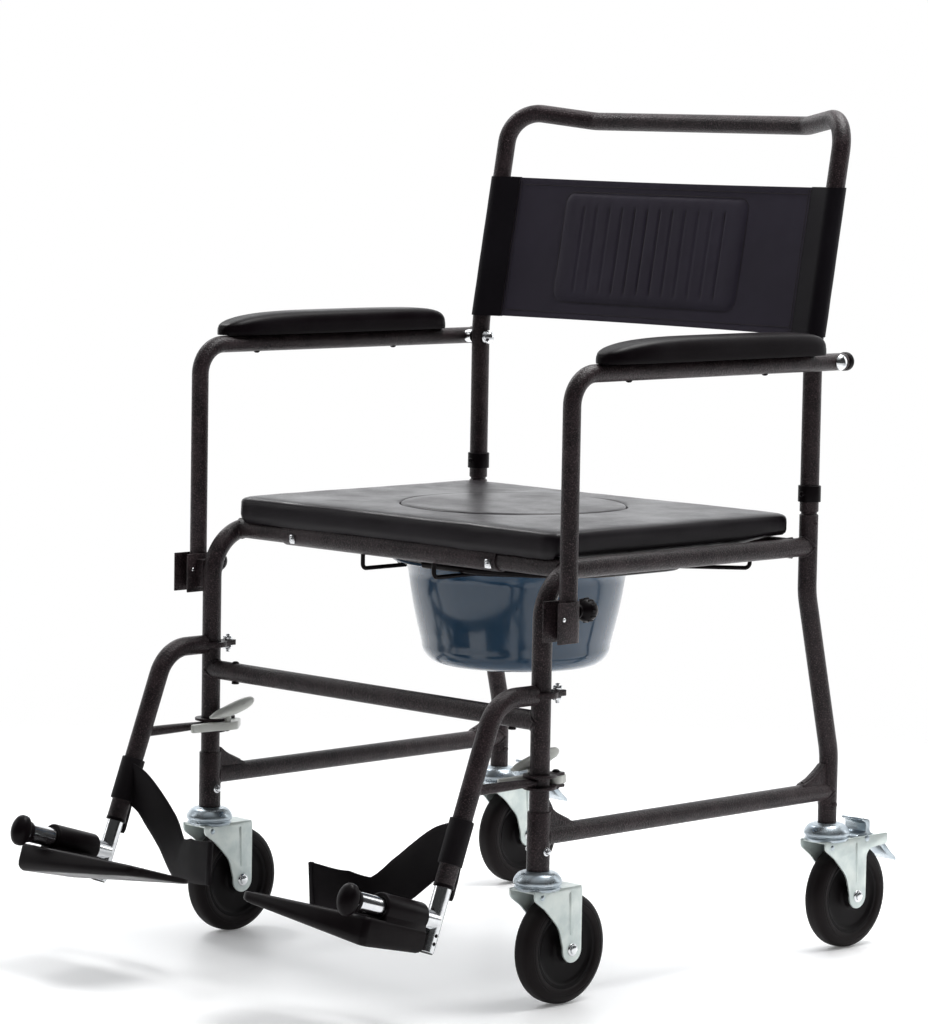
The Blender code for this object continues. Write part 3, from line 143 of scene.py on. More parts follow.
# Armrests
POST_OUT = 0.032
POST_BACK = 0.006
POST_BOTTOM_Z = 0.4075
ARM_Z = 0.6955
ARM_BEND_R = 0.035
ARM_TAIL = 0.022
ARM_PAD_FRONT = 0.043
ARM_PAD_LENGTH = 0.358
ARM_PAD_HALF_WIDTH = 0.0235
ARM_PAD_THICK = 0.027
CAD_SLEEVE_WALL = 0.0016
ARM_PAD_CLEAR = 0.0015
ARM_PAD_LINE_AT, ARM_PAD_LINE_REACH, ARM_PAD_LINE_DEPTH = 0.34, 0.035, 0.0005
ARM_SCREWS_BACK = (0.095, 0.320)
# Each row: distance from the pad's front end, and the shares of its breadth and of its height
ARM_PAD_KEYS = ((0.0, 0.20, 0.26), (0.004, 0.46, 0.44), (0.012, 0.67, 0.57), (0.024, 0.80, 0.69),
                (0.045, 0.90, 0.82), (0.075, 0.965, 0.92), (0.120, 0.995, 0.985), (0.180, 1.0, 1.0),
                (0.250, 1.0, 1.0), (0.310, 1.0, 0.985), (0.345, 0.985, 0.94), (0.362, 0.955, 0.86),
                (0.372, 0.88, 0.74), (0.378, 0.72, 0.55), (0.380, 0.50, 0.36))
SOCKET_WALL = 0.002
SOCKET_HEIGHT = 0.045
SOCKET_LOW_Z = 0.4055
SOCKET_FLANGE = 0.027
KNOB_R = 0.0130
KNOB_Z = 0.4385
BOLT_HEAD_R = 0.009

# Seat, lid and pan
SEAT_LOW_Z = SEAT_RAIL_Z + SLEEVE_R + GAP
SEAT_THICK = 0.0275
HEM_DROOP = 0.0068
HEM_FORWARD = 0.0026
HEM_CLEAR = 0.0004
HEM_SIDE_X, HEM_SIDE_FADE = 0.236, 0.016
HEM_REAR_GAP, HEM_REAR_FADE = 0.030, 0.06
HEM_FRONT_DEPTH, HEM_FRONT_FADE = 0.014, 0.006
SEAT_HALF_WIDTH = 0.262
SEAT_FRONT_BACK = 0.030
SEAT_DEPTH = 0.390
SEAT_CORNER_R = 0.014
CORNER_SQUARENESS = 2.366
SEAT_SIDE_DRAWN_IN = 0.0018
SEAT_FLAT_INSET = 0.032
# Each row: how far inside the pad's outline, and the height, down the outer edge and in under it
SEAT_EDGE = ((SEAT_FLAT_INSET, SEAT_THICK), (0.020, SEAT_THICK - 0.0001), (0.0115, SEAT_THICK - 0.0004),
             (0.0066, SEAT_THICK - 0.0012), (0.0033, SEAT_THICK - 0.0026), (0.0013, SEAT_THICK - 0.0046),
             (0.0003, SEAT_THICK - 0.0074), (0.0, SEAT_THICK - 0.0115), (0.0002, 0.0075), (0.0010, 0.0042),
             (0.0034, 0.0014), (0.0080, 0.0003), (0.016, 0.0), (0.034, 0.0))
# Each row: how far outside the lid's radius, and the height, up the wall of the opening
SEAT_HOLE = ((0.0012, 0.0), (0.0, 0.0015), (0.0, SEAT_THICK - 0.0045), (0.0006, SEAT_THICK - 0.0022),
             (0.0020, SEAT_THICK - 0.0006), (0.0042, SEAT_THICK))
LID_R = 0.1325
LID_BACK = 0.228
PAN_BACK = 0.236
PAN_RIM_R = 0.131
PAN_FLOOR_R = 0.104
PAN_FLOOR_Z = 0.333
PAN_WALL = 0.0025
PAN_FLANGE_R = 0.1465
PAN_FLANGE = 0.0035
RUNNER_R = 0.0025
RUNNER_Z = 0.451
RUNNER_HALF = 0.1385
RUNNER_HOOK_HALF = 0.058
RUNNER_REAR_HALF = 0.206
BAIL_R = 0.0045
BAIL_REACH = 0.190
# Each row: behind the pan's middle, and the share of the bail's half width
BAIL_BENDS = ((0, 1), (0.078, 1), (0.151, 0.80), (BAIL_REACH, 0.42))
BAIL_BEND_R = 0.040
PAN_PIN_R = 0.0025

# Footrests
HANGER_Z = 0.3455
HANGER_CORNER = 0.070
HANGER_BEND_R = 0.045
HANGER_LEAN = math.radians(21)
HANGER_END_Z = 0.1513
HANGER_RIVET_Z = 0.222
EXTENSION_END_Z = 0.084
EXTENSION_INSIDE = 0.085
STRAP_THICK = 0.006
STRAP_R = 0.0185
STRAP_TAIL = 0.034
STRAP_SLIT = 0.0008
STRAP_BOLT_BACK = 0.0255
LOWER_ARM_Z = 0.2500
LOWER_ARM_R = 0.0058
LOWER_ARM_SPREAD = 0.0026
LOWER_ARM_FLATTEN = 0.0018
CLAMP_NUT_R = 0.0056
CLAMP_BOLT_R = 0.0025
CLAMP_THREADS = 12
CLAMP_THREAD_PITCH = 0.0006
CLAMP_THREAD_DEPTH = 0.00035
LATCH_HUB_R = 0.0075
LEAF_THICK = 0.003
LEAF_OFFSET = 0.0065
# Each row: inboard of the leg, behind it, above the lever, half breadth and half depth
LATCH_PADDLE = ((0.0225, -0.0195, 0.0120, 0.0030, 0.0016), (0.0225, -0.0100, 0.0142, 0.0052, 0.0046),
                (0.0222, 0.0040, 0.0168, 0.0060, 0.0066), (0.0215, 0.0200, 0.0202, 0.0064, 0.0076),
                (0.0208, 0.0340, 0.0234, 0.0062, 0.0072), (0.0202, 0.0440, 0.0256, 0.0048, 0.0056),
                (0.0200, 0.0485, 0.0266, 0.0026, 0.0030))
PADDLE_FOOT = (0.0218, 0.0080, 0.0170)
PADDLE_FOOT_R = 0.0036
SPIGOT_TILT = math.radians(17)
SPIGOT_Z = 0.1160
SPIGOT_LENGTH = 0.126
PLATE_START = 0.024
PLATE_DEPTH = 0.091
PLATE_FAR = PLATE_START + PLATE_DEPTH
PLATE_OUT = 0.017
PLATE_IN = 0.183
PLATE_TOP = -0.013
PLATE_EDGE_LOW = -0.038
PLATE_TIP_LOW = -0.018
PLATE_TOE_DROP = 0.006
PLATE_CORNER_R = 0.014
PLATE_HEEL_CORNER_R = 0.007
PLATE_LINES = 9
PLATE_LINE_FIRST = 0.010
PLATE_LINE_PITCH = 0.0088
PLATE_LINE_WIDTH = 0.0034
# Each row: share of the way up the footplate's edge, and how far it is drawn in there
PLATE_EDGE = ((0.0, 0.0050), (0.06, 0.0026), (0.16, 0.0008), (0.32, 0.0), (0.86, 0.0), (0.95, 0.0006), (1.0, 0.0020))
PLATE_SLEEVE_R = 0.0162
PLATE_SLEEVE_LENGTH = 0.062
CAP_HALF_HEIGHT = 0.0175
CAP_HALF_WIDTH = 0.0120
CAP_LENGTH = 0.017
HEEL_STRAP_WIDTH = 0.050
HEEL_STRAP_THICK = 0.003
HEEL_STRAP_UP = 0.024
STRAP_FOLD_AT = 0.107
STRAP_FOLD_REACH = 0.030
STRAP_FOLD_DROP = 0.0078
# Each row: inboard of the hanger, behind the front legs, height, and the lean of its width in degrees
HEEL_STRAP_RUN = ((0.000, -0.1276, 0.1955, 0), (0.026, -0.1280, 0.1850, 15), (0.052, -0.1300, 0.1660, 31),
                  (0.080, -0.1340, 0.1440, 34), (0.107, -0.1420, 0.1290, 21), (0.145, -0.1540, 0.1245, 3),
                  (0.186, -0.1632, 0.1285, -4))

# Places that follow. The origin stands on the floor, under the middle of the chair's overall length
FRONT_Y = -0.1509323
LEG_BOTTOM_Z = CASTOR_TOP_Z + GAP
REAR_LOW_Y = FRONT_Y + WHEELBASE
REAR_HIGH_Y = REAR_LOW_Y - REAR_LEG_SET_FORWARD
HANDLE_Y = FRONT_Y + HANDLE_BACK
FRONT_RAIL_Y = FRONT_Y + FRONT_RAIL_BACK
REAR_RAIL_Y = FRONT_Y + REAR_RAIL_BACK
POST_X = HALF_TRACK + POST_OUT
POST_Y = FRONT_Y + POST_BACK
SEAT_MIDDLE_Y = FRONT_Y + SEAT_FRONT_BACK + SEAT_DEPTH / 2
LID_Y = FRONT_Y + LID_BACK
PAN_Y = FRONT_Y + PAN_BACK
RUNNER_TOP_Z = RUNNER_Z + RUNNER_R
PAN_FLANGE_Z = RUNNER_TOP_Z + GAP
SIDES = (("left", 1), ("right", -1))
X_AXIS, Y_AXIS, Z_AXIS = Vector((1, 0, 0)), Vector((0, 1, 0)), Vector((0, 0, 1))

# The camera stands at the photograph's viewing angle
VIEW_AZIMUTH = math.radians(45)
VIEW_ELEVATION = math.radians(5.5433)
VIEW_ROLL = math.radians(0.992)
VIEW_DISTANCE = 4.9104
VIEW_TARGET_BACK = 0.25
VIEW_TARGET_RIGHT = -0.0732
VIEW_TARGET_Z = 0.5076
FOCAL_PIXELS = 4197.4385
PHOTO_HEIGHT = 1024
SENSOR = 36

# Light and floor
STUDIO_LEVEL = 1.5
STUDIO_TINT = (0.97, 0.985, 1.0, 1)
WHITE = (1, 1, 1, 1)
# How far a direction faces the camera's side, and how far it looks up: from and to, and the light at either end
STUDIO_FACING = (-0.85, -0.10, 1.0, 0.03)
STUDIO_HEIGHT = (0.45, 0.95, 0.0, 0.45)
# Each row: name, place, aim, size and energy
LAMPS = (("overhead", (0.3, 0.8, 2.5), (0, 0.1, 0.5), (1.5, 1.1), 62),
         ("left_front", (-2.2, -1.6, 1.5), (0, 0, 0.5), (0.6, 1.5), 7),
         ("right_back", (1.2, 2.6, 1.3), (0, 0.1, 0.5), (0.6, 1.8), 8),
         ("left_high", (-2.0, 0.3, 2.4), (0, 0.2, 0.9), (0.5, 0.5), 16))
FLOOR_HALF = 6
FLOOR_FADE = (0.75, 1.9)
FLOOR_PAINT = (0.97, 0.97, 0.972, 1)
FLOOR_ROUGHNESS = 0.42
FLOOR_SPECULAR = 0.35
FLOOR_GLOW = 0.12
DUST_ROUGHENS = 0.4

# Finishes. Each row: name, slot, colour of the cloth and where it is worn, threads per metre, bump strength and
# depth, sheen weight and roughness, specular level
WEAVES = (("sling_cloth", "sling_nylon", (0.0230, 0.0180, 0.0300), (0.040, 0.034, 0.052), 1500, (0.35, 0.0003),
           (0.05, 0.5), 0.12),
          # The sleeves' row is the sling's nylon painted about four times darker: painted shade on the sleeves round
          # the uprights
          ("sleeve_cloth_painted_shade", "sling_nylon", (0.0050, 0.0036, 0.0054), (0.011, 0.009, 0.013), 1500, (0.35, 0.0003),
           (0.02, 0.5), 0.08),
          ("sewing_thread", "sling_nylon", (0.0105, 0.0060, 0.0070), (0.020, 0.012, 0.013), 3500, (0.4, 0.0002),
           (0.1, 0.5), 0.2),
          ("strap_web", "webbing", (0.0042, 0.0026, 0.0036), (0.009, 0.007, 0.009), 1100, (0.55, 0.0004),
           (0.03, 0.6), 0.10))
# Each row: name, slot, colour of the skin and of its bloom, grains per metre, gloss, share of bloom, bump strength
# and depth, specular level, amount and rub of the dust
SKINS = (("seat_vinyl", "seat_vinyl", (0.0062, 0.0038, 0.0060), (0.016, 0.012, 0.017), 1150, 0.34, 0.30,
          (0.30, 0.0003), 0.20, (0.02, 0.02)),
         ("arm_foam", "pad_foam", (0.0040, 0.0024, 0.0034), (0.010, 0.008, 0.010), 900, 0.36, 0.30,
          (0.38, 0.0004), 0.07, (0.015, 0.02)),
         ("pan_plastic", "pan_plastic", (0.022, 0.056, 0.104), (0.042, 0.088, 0.140), 420, 0.13, 0.25,
          (0.04, 0.0003), 0.5, (0.02, 0.06)),
         ("black_plastic", "black_plastic", (0.0042, 0.0026, 0.0034), (0.010, 0.008, 0.009), 1900, 0.34, 0.25,
          (0.22, 0.0002), 0.08, (0.02, 0.05)),
         ("latch_plastic", "latch_plastic", (0.600, 0.610, 0.570), (0.460, 0.470, 0.440), 1900, 0.36, 0.35,
          (0.15, 0.0002), 0.5, (0.05, 0.0)),
         ("tyre_rubber", "tyre_rubber", (0.0075, 0.0052, 0.0056), (0.018, 0.015, 0.015), 1300, 0.52, 0.45,
          (0.25, 0.0003), 0.12, (0.04, 0.08)),
         ("wheel_plastic", "tyre_rubber", (0.0035, 0.0026, 0.0030), (0.009, 0.007, 0.008), 1500, 0.44, 0.3,
          (0.2, 0.0003), 0.10, (0.02, 0.05)))
# What two of the skins have besides
DEEPER = {"pan_plastic": {"Subsurface Weight": 0.05, "Subsurface Radius": (0.002, 0.004, 0.006),
                          "Coat Weight": 0.15, "Coat Roughness": 0.08},
          "latch_plastic": {"Subsurface Weight": 0.05, "Subsurface Radius": (0.003, 0.003, 0.003)}}
# Each row: name, slot, colour of the metal and of its tint, clouds per metre, gloss and its spread, bump strength and
# depth, metallic share
PLATINGS = (("chrome", "chrome", (0.78, 0.79, 0.80), (0.66, 0.67, 0.69), 90, 0.16, 0.05, (0.03, 0.0002), 1.0),
            ("zinc", "zinc", (0.66, 0.71, 0.68), (0.52, 0.59, 0.58), 46, 0.38, 0.08, (0.05, 0.0002), 0.55),
            ("zinc_bright", "zinc", (0.47, 0.52, 0.55), (0.33, 0.39, 0.44), 70, 0.30, 0.05, (0.05, 0.0002), 0.85))


# Camera, light and floor

def place_camera():
    """Sets up the camera, and returns the way from the chair to it."""
    a, e, r = VIEW_AZIMUTH, VIEW_ELEVATION, VIEW_ROLL
    back = Vector((math.sin(a) * math.cos(e), -math.cos(a) * math.cos(e), math.sin(e)))
    right = Vector((math.cos(a), math.sin(a), 0))
    up = back.cross(right)
    target = Vector((0, FRONT_Y + VIEW_TARGET_BACK, VIEW_TARGET_Z)) + right * VIEW_TARGET_RIGHT
    data = bpy.data.cameras.new("camera")
    data.sensor_width = SENSOR
    data.lens = FOCAL_PIXELS * SENSOR / PHOTO_HEIGHT
    camera = bpy.data.objects.new("camera", data)
    bpy.context.scene.collection.objects.link(camera)
    across = right * math.cos(r) + up * math.sin(r)
    upward = up * math.cos(r) - right * math.sin(r)
    turn = Matrix((across, upward, back)).transposed().to_4x4()
    camera.matrix_world = Matrix.Translation(target + back * VIEW_DISTANCE) @ turn
    bpy.context.scene.camera = camera
    return back


def node(tree, kind, inputs=None, **settings):
    """A node with its settings, and its inputs given as values or as other nodes' outputs."""
    made = tree.nodes.new("ShaderNode" + kind)
    for key, value in settings.items():
        setattr(made, key, value)
    for key, value in (inputs or {}).items():
        if isinstance(value, bpy.types.NodeSocket):
            tree.links.new(value, made.inputs[key])
        else:
            made.inputs[key].default_value = value
    return made


def math_node(tree, operation, *values, clamp=False):
    made = node(tree, "Math", dict(enumerate(values)), operation=operation, use_clamp=clamp)
    return made.outputs[0]


def times(tree, a, b):
    return math_node(tree, "MULTIPLY", a, b)


def plus(tree, a, b):
    return math_node(tree, "ADD", a, b)


def minus(tree, a, b):
    return math_node(tree, "SUBTRACT", a, b)


def ramp(tree, value, low, high, to_low=0.0, to_high=1.0):
    """A smooth step from one level to another between two values."""
    made = node(tree, "MapRange", {"Value": value, "From Min": low, "From Max": high, "To Min": to_low,
                                   "To Max": to_high}, interpolation_type="SMOOTHSTEP")
    return made.outputs[0]


def fresh_tree(owner):
    """The emptied node tree of a world or a material."""
    owner.use_nodes = True
    owner.node_tree.nodes.clear()
    return owner.node_tree


def light_world(back):
    """A studio that is bright behind the chair and above it, and plain white where the camera sees it."""
    world = bpy.data.worlds.new("studio")
    bpy.context.scene.world = world
    tree = fresh_tree(world)
    way = node(tree, "TexCoord").outputs["Generated"]
    front = Vector((back.x, back.y, 0)).normalized()
    facing = node(tree, "VectorMath", {0: way, 1: front}, operation="DOT_PRODUCT").outputs["Value"]
    height = node(tree, "SeparateXYZ", {0: way}).outputs["Z"]
    level = math_node(tree, "MAXIMUM", ramp(tree, facing, *STUDIO_FACING), ramp(tree, height, *STUDIO_HEIGHT))
    studio = node(tree, "Background", {"Color": STUDIO_TINT, "Strength": times(tree, level, STUDIO_LEVEL)})
    plain = node(tree, "Background", {"Color": WHITE, "Strength": 1.0})
    seen = node(tree, "LightPath").outputs["Is Camera Ray"]
    mixed = node(tree, "MixShader", {0: seen, 1: studio.outputs[0], 2: plain.outputs[0]})
    node(tree, "OutputWorld", {"Surface": mixed.outputs[0]})


def softbox(name, place, aim, size, energy):
    data = bpy.data.lights.new(name, "AREA")
    data.shape = "RECTANGLE"
    data.size, data.size_y = size
    data.energy = energy
    lamp = bpy.data.objects.new(name, data)
    bpy.context.scene.collection.objects.link(lamp)
    lamp.location = place
    lamp.rotation_mode = "QUATERNION"
    lamp.rotation_quaternion = (Vector(aim) - Vector(place)).to_track_quat("-Z", "Y")


def lay_floor():
    """A pale floor that keeps the shadows and thins out into the white background."""
    shape = bmesh.new()
    bmesh.ops.create_grid(shape, x_segments=1, y_segments=1, size=FLOOR_HALF)
    obj = bpy.data.objects.new("studio_floor", new_mesh(shape))
    bpy.context.scene.collection.objects.link(obj)
    material = bpy.data.materials.new("studio_floor")
    tree = fresh_tree(material)
    place = node(tree, "TexCoord").outputs["Object"]
    reach = node(tree, "VectorMath", {0: place}, operation="LENGTH").outputs["Value"]
    paint = node(tree, "BsdfPrincipled", {
        "Base Color": FLOOR_PAINT, "Roughness": FLOOR_ROUGHNESS, "Specular IOR Level": FLOOR_SPECULAR,
        "Emission Color": WHITE, "Emission Strength": FLOOR_GLOW})
    seen = node(tree, "LightPath").outputs["Is Camera Ray"]
    gone = times(tree, ramp(tree, reach, *FLOOR_FADE), seen)
    clear = node(tree, "BsdfTransparent")
    mixed = node(tree, "MixShader", {0: gone, 1: paint.outputs[0], 2: clear.outputs[0]})
    node(tree, "OutputMaterial", {"Surface": mixed.outputs[0]})
    obj.data.materials.append(material)


# Shader effects that several finishes share

def effect(name, inputs, outputs=("Color", "Roughness", "Height")):
    """A new node group with the inputs and their first values: its tree, its inputs, and the object's space."""
    tree = bpy.data.node_groups.new(name, "ShaderNodeTree")
    for label, value in inputs.items():
        kind = "NodeSocketColor" if isinstance(value, tuple) else "NodeSocketFloat"
        tree.interface.new_socket(label, in_out="INPUT", socket_type=kind).default_value = value
    for label in outputs:
        kind = "NodeSocketColor" if label == "Color" else "NodeSocketFloat"
        tree.interface.new_socket(label, in_out="OUTPUT", socket_type=kind)
    given = tree.nodes.new("NodeGroupInput").outputs
    return tree, given, node(tree, "TexCoord").outputs["Object"]


def giving(tree, **results):
    """The node group with its results linked to its outputs."""
    taken = tree.nodes.new("NodeGroupOutput").inputs
    for key, value in results.items():
        tree.links.new(value, taken[key])
    return tree


def mix_color(tree, share, a, b):
    made = node(tree, "Mix", data_type="RGBA")
    for key, value in (("Factor", share), ("A", a), ("B", b)):
        socket = next(s for s in made.inputs if s.name == key and s.enabled)
        if isinstance(value, bpy.types.NodeSocket):
            tree.links.new(value, socket)
        else:
            socket.default_value = value
    return next(s for s in made.outputs if s.enabled)


def noise_of(tree, place, scale, detail=2.0, roughness=0.5):
    made = node(tree, "TexNoise", {"Vector": place, "Scale": scale, "Detail": detail, "Roughness": roughness})
    return made.outputs[0]


def smooth_cells(tree, place, scale, smoothness):
    return node(tree, "TexVoronoi", {"Vector": place, "Scale": scale, "Smoothness": smoothness},
                feature="SMOOTH_F1").outputs["Distance"]


def hammered_effect():
    """Dimpled enamel: small shallow cells with lighter flecks, glossier in the hollows, and painted shade that
    darkens the low edges of the cells.
    """
    tree, given, place = effect("hammered_enamel", {
        "Enamel": (0.02, 0.02, 0.02, 1), "Fleck": (0.1, 0.1, 0.1, 1), "Dimples per Metre": 600.0,
        "Fleck Share": 0.5})
    wander = node(tree, "TexNoise", {"Vector": place, "Scale": 260.0, "Detail": 1.0}).outputs["Color"]
    bent = node(tree, "VectorMath", {0: wander, 3: 0.0012}, operation="SCALE").outputs[0]
    shifted = node(tree, "VectorMath", {0: place, 1: bent}, operation="ADD").outputs[0]
    cells = smooth_cells(tree, shifted, given["Dimples per Metre"], 0.6)
    speck = noise_of(tree, place, times(tree, given["Dimples per Metre"], 1.35), 3.0, 0.65)
    cloud = noise_of(tree, place, 38.0, 3.0)
    edge = minus(tree, 0.62, times(tree, given["Fleck Share"], 0.12))
    flecks = math_node(tree, "MULTIPLY", minus(tree, speck, edge), 9.0, clamp=True)
    clouded = mix_color(tree, ramp(tree, cloud, 0.3, 0.7, 0.0, 0.35), given["Enamel"], given["Fleck"])
    # Painted shade: the colour darkens towards near black where the cells' relief is low
    with_hollow_shade = mix_color(tree, ramp(tree, cells, 0.35, 0.8, 0.0, 0.45), clouded, (0.004, 0.003, 0.004, 1))
    return giving(tree, Color=mix_color(tree, flecks, with_hollow_shade, given["Fleck"]),
                  Roughness=plus(tree, ramp(tree, cells, 0.1, 0.7, 0.30, 0.46), times(tree, flecks, 0.06)),
                  Height=minus(tree, 1.0, ramp(tree, cells, 0.05, 0.75)))


def weave_effect():
    """Plain weave from crossing sine threads, with slubs and a slow change of tone."""
    tree, given, place = effect("plain_weave", {
        "Cloth": (0.02, 0.02, 0.02, 1), "Worn": (0.05, 0.05, 0.05, 1), "Threads per Metre": 1500.0})
    axes = node(tree, "SeparateXYZ", {0: place}).outputs
    run = times(tree, given["Threads per Metre"], math.pi)
    warp = math_node(tree, "SINE", times(tree, axes["X"], run))
    depth = plus(tree, axes["Z"], times(tree, axes["Y"], 0.35))
    weft = math_node(tree, "SINE", times(tree, depth, run))
    slub = noise_of(tree, place, 900.0)
    cloud = noise_of(tree, place, 9.0, 4.0, 0.6)
    lifted = plus(tree, times(tree, times(tree, warp, weft), 0.35), times(tree, slub, 0.9))
    tone = plus(tree, ramp(tree, lifted, 0.1, 0.9, 0.0, 0.30), ramp(tree, cloud, 0.35, 0.75, 0.0, 0.45))
    return giving(tree, Color=mix_color(tree, tone, given["Cloth"], given["Worn"]),
                  Roughness=ramp(tree, cloud, 0.3, 0.7, 0.52, 0.66), Height=lifted)


def grain_effect():
    """Leather-like grain of vinyl and foam skins, or the spark texture of moulded plastic when fine."""
    tree, given, place = effect("skin_grain", {
        "Skin": (0.02, 0.02, 0.02, 1), "Bloom": (0.06, 0.06, 0.06, 1), "Grains per Metre": 1200.0,
        "Gloss": 0.4, "Bloom Share": 0.3})
    cells = smooth_cells(tree, place, given["Grains per Metre"], 0.5)
    fine = noise_of(tree, place, times(tree, given["Grains per Metre"], 2.2))
    smudge = noise_of(tree, place, 14.0, 5.0, 0.62)
    bloom = times(tree, ramp(tree, smudge, 0.38, 0.78), given["Bloom Share"])
    spread = plus(tree, given["Gloss"], ramp(tree, smudge, 0.3, 0.75, -0.05, 0.09))
    return giving(tree, Color=mix_color(tree, bloom, given["Skin"], given["Bloom"]),
                  Roughness=plus(tree, spread, ramp(tree, fine, 0.3, 0.7, -0.02, 0.02)),
                  Height=plus(tree, times(tree, cells, -0.8), times(tree, fine, 0.4)))


def plating_effect():
    """Electroplated metal: cloudy tint, faint drawn lines and handling smudges."""
    tree, given, place = effect("plated_metal", {
        "Metal": (0.6, 0.6, 0.6, 1), "Tint": (0.5, 0.55, 0.6, 1), "Clouds per Metre": 40.0, "Gloss": 0.3,
        "Spread": 0.1})
    cloud = noise_of(tree, place, given["Clouds per Metre"], 4.0, 0.6)
    spangle = node(tree, "TexVoronoi", {"Vector": place, "Scale": 220.0}).outputs["Color"]
    flake = node(tree, "SeparateColor", {0: spangle}).outputs[0]
    drawn_place = node(tree, "Mapping", {"Vector": place, "Scale": (60.0, 60.0, 900.0)}).outputs[0]
    drawn = noise_of(tree, drawn_place, 1.0)
    share = plus(tree, ramp(tree, cloud, 0.3, 0.7, 0.0, 0.75), ramp(tree, flake, 0.0, 1.0, 0.0, 0.15))
    wide = times(tree, ramp(tree, cloud, 0.3, 0.7, -1.0, 1.0), given["Spread"])
    return giving(tree, Color=mix_color(tree, share, given["Metal"], given["Tint"]),
                  Roughness=plus(tree, given["Gloss"], wide), Height=plus(tree, times(tree, drawn, 0.6), flake))


def dust_effect():
    """A thin film of dust that settles where a surface looks up, and rubs lighter on its edges."""
    tree, given, place = effect("settled_dust", {
        "Surface": (0.02, 0.02, 0.02, 1), "Dust": (0.3, 0.29, 0.28, 1), "Amount": 0.05, "Rub": 0.1},
        ("Color", "Mask"))
    geometry = node(tree, "NewGeometry").outputs
    up = node(tree, "SeparateXYZ", {0: geometry["Normal"]}).outputs["Z"]
    patchy = noise_of(tree, place, 55.0, 5.0, 0.65)
    film = times(tree, ramp(tree, up, 0.2, 1.0), ramp(tree, patchy, 0.35, 0.7, 0.3, 1.0))
    edge = ramp(tree, geometry["Pointiness"], 0.52, 0.62)
    rubbed = times(tree, times(tree, edge, patchy), given["Rub"])
    mask = math_node(tree, "ADD", times(tree, film, given["Amount"]), rubbed, clamp=True)
    return giving(tree, Color=mix_color(tree, mask, given["Surface"], given["Dust"]), Mask=mask)


HAMMERED, WEAVE, GRAIN, PLATING, DUST = (
    hammered_effect(), weave_effect(), grain_effect(), plating_effect(), dust_effect())
finishes = {}


def finish(name, surface, values, bump, shader, dust=None):
    """A material: one surface effect, a film of dust of an amount and a rub, and its own Principled shader."""
    material = bpy.data.materials.new(name)
    tree = fresh_tree(material)
    look = node(tree, "Group", values, node_tree=surface).outputs
    color, rough = look["Color"], look["Roughness"]
    if dust:
        film = node(tree, "Group", {"Surface": color, "Amount": dust[0], "Rub": dust[1]}, node_tree=DUST).outputs
        color = film["Color"]
        rough = plus(tree, rough, times(tree, film["Mask"], DUST_ROUGHENS))
    raised = node(tree, "Bump", {"Height": look["Height"], "Strength": bump[0], "Distance": bump[1]}).outputs[0]
    paint = node(tree, "BsdfPrincipled", {**shader, "Base Color": color, "Roughness": rough, "Normal": raised})
    node(tree, "OutputMaterial", {"Surface": paint.outputs[0]})
    finishes[name] = material


def make_finishes():
    finish("hammered_enamel", HAMMERED,
           {"Enamel": (0.0066, 0.0032, 0.0042, 1), "Fleck": (0.066, 0.045, 0.049, 1), "Dimples per Metre": 520.0,
            "Fleck Share": 0.75},
           (0.50, 0.0006), {"Specular IOR Level": 0.24}, (0.02, 0.04))
    for name, slot, cloth, worn, threads, bump, (sheen, sheen_roughness), specular in WEAVES:
        finish(name, WEAVE, {"Cloth": (*cloth, 1), "Worn": (*worn, 1), "Threads per Metre": threads}, bump,
               {"Sheen Weight": sheen, "Sheen Roughness": sheen_roughness, "Specular IOR Level": specular})
    for name, slot, base, bloom, grains, gloss, share, bump, specular, dust in SKINS:
        finish(name, GRAIN,
               {"Skin": (*base, 1), "Bloom": (*bloom, 1), "Grains per Metre": grains, "Gloss": gloss,
                "Bloom Share": share},
               bump, {"Specular IOR Level": specular, **DEEPER.get(name, {})}, dust)
    for name, slot, metal, tint, clouds, gloss, spread, bump, metallic in PLATINGS:
        finish(name, PLATING,
               {"Metal": (*metal, 1), "Tint": (*tint, 1), "Clouds per Metre": clouds, "Gloss": gloss,
                "Spread": spread},
               bump, {"Metallic": metallic})


# Shapes

def waver(*place):
    """Smooth noise at a place, the same in each run."""
    return noise.noise(Vector(place))


def part_of(distance, reach):
    """A distance as a share of a reach, held between 0 and 1."""
    return min(1.0, max(0.0, distance / reach))


def new_mesh(shape, name="shape"):
    mesh = bpy.data.meshes.new(name)
    shape.to_mesh(mesh)
    shape.free()
    return mesh


def circle(count):
    angles = [2 * math.pi * i / count for i in range(count)]
    return [(math.cos(a), math.sin(a)) for a in angles]


def arc(centre, radius, start, end, count):
    """Points of an arc in a plane, angles in degrees."""
    angles = [math.radians(start + (end - start) * i / count) for i in range(count + 1)]
    return [(centre[0] + radius * math.cos(a), centre[1] + radius * math.sin(a)) for a in angles]


def rounded_path(corners, radii, step=BEND_STEP):
    """Points through the corners, each inner corner replaced by an arc of its radius."""
    corners = [Vector(c) for c in corners]
    if not isinstance(radii, (list, tuple)):
        radii = [radii] * (len(corners) - 2)
    points = [corners[0]]
    for before, corner, after, radius in zip(corners, corners[1:], corners[2:], radii):
        into = (corner - before).normalized()
        out = (after - corner).normalized()
        turn = into.angle(out)
        reach = radius * math.tan(turn / 2)
        centre = corner + (out - into).normalized() * (radius / math.cos(turn / 2))
        start = corner - into * reach - centre
        axis = into.cross(out).normalized()
        count = max(2, math.ceil(turn / step))
        for i in range(count + 1):
            points.append(centre + Matrix.Rotation(turn * i / count, 3, axis) @ start)
    points.append(corners[-1])
    return points


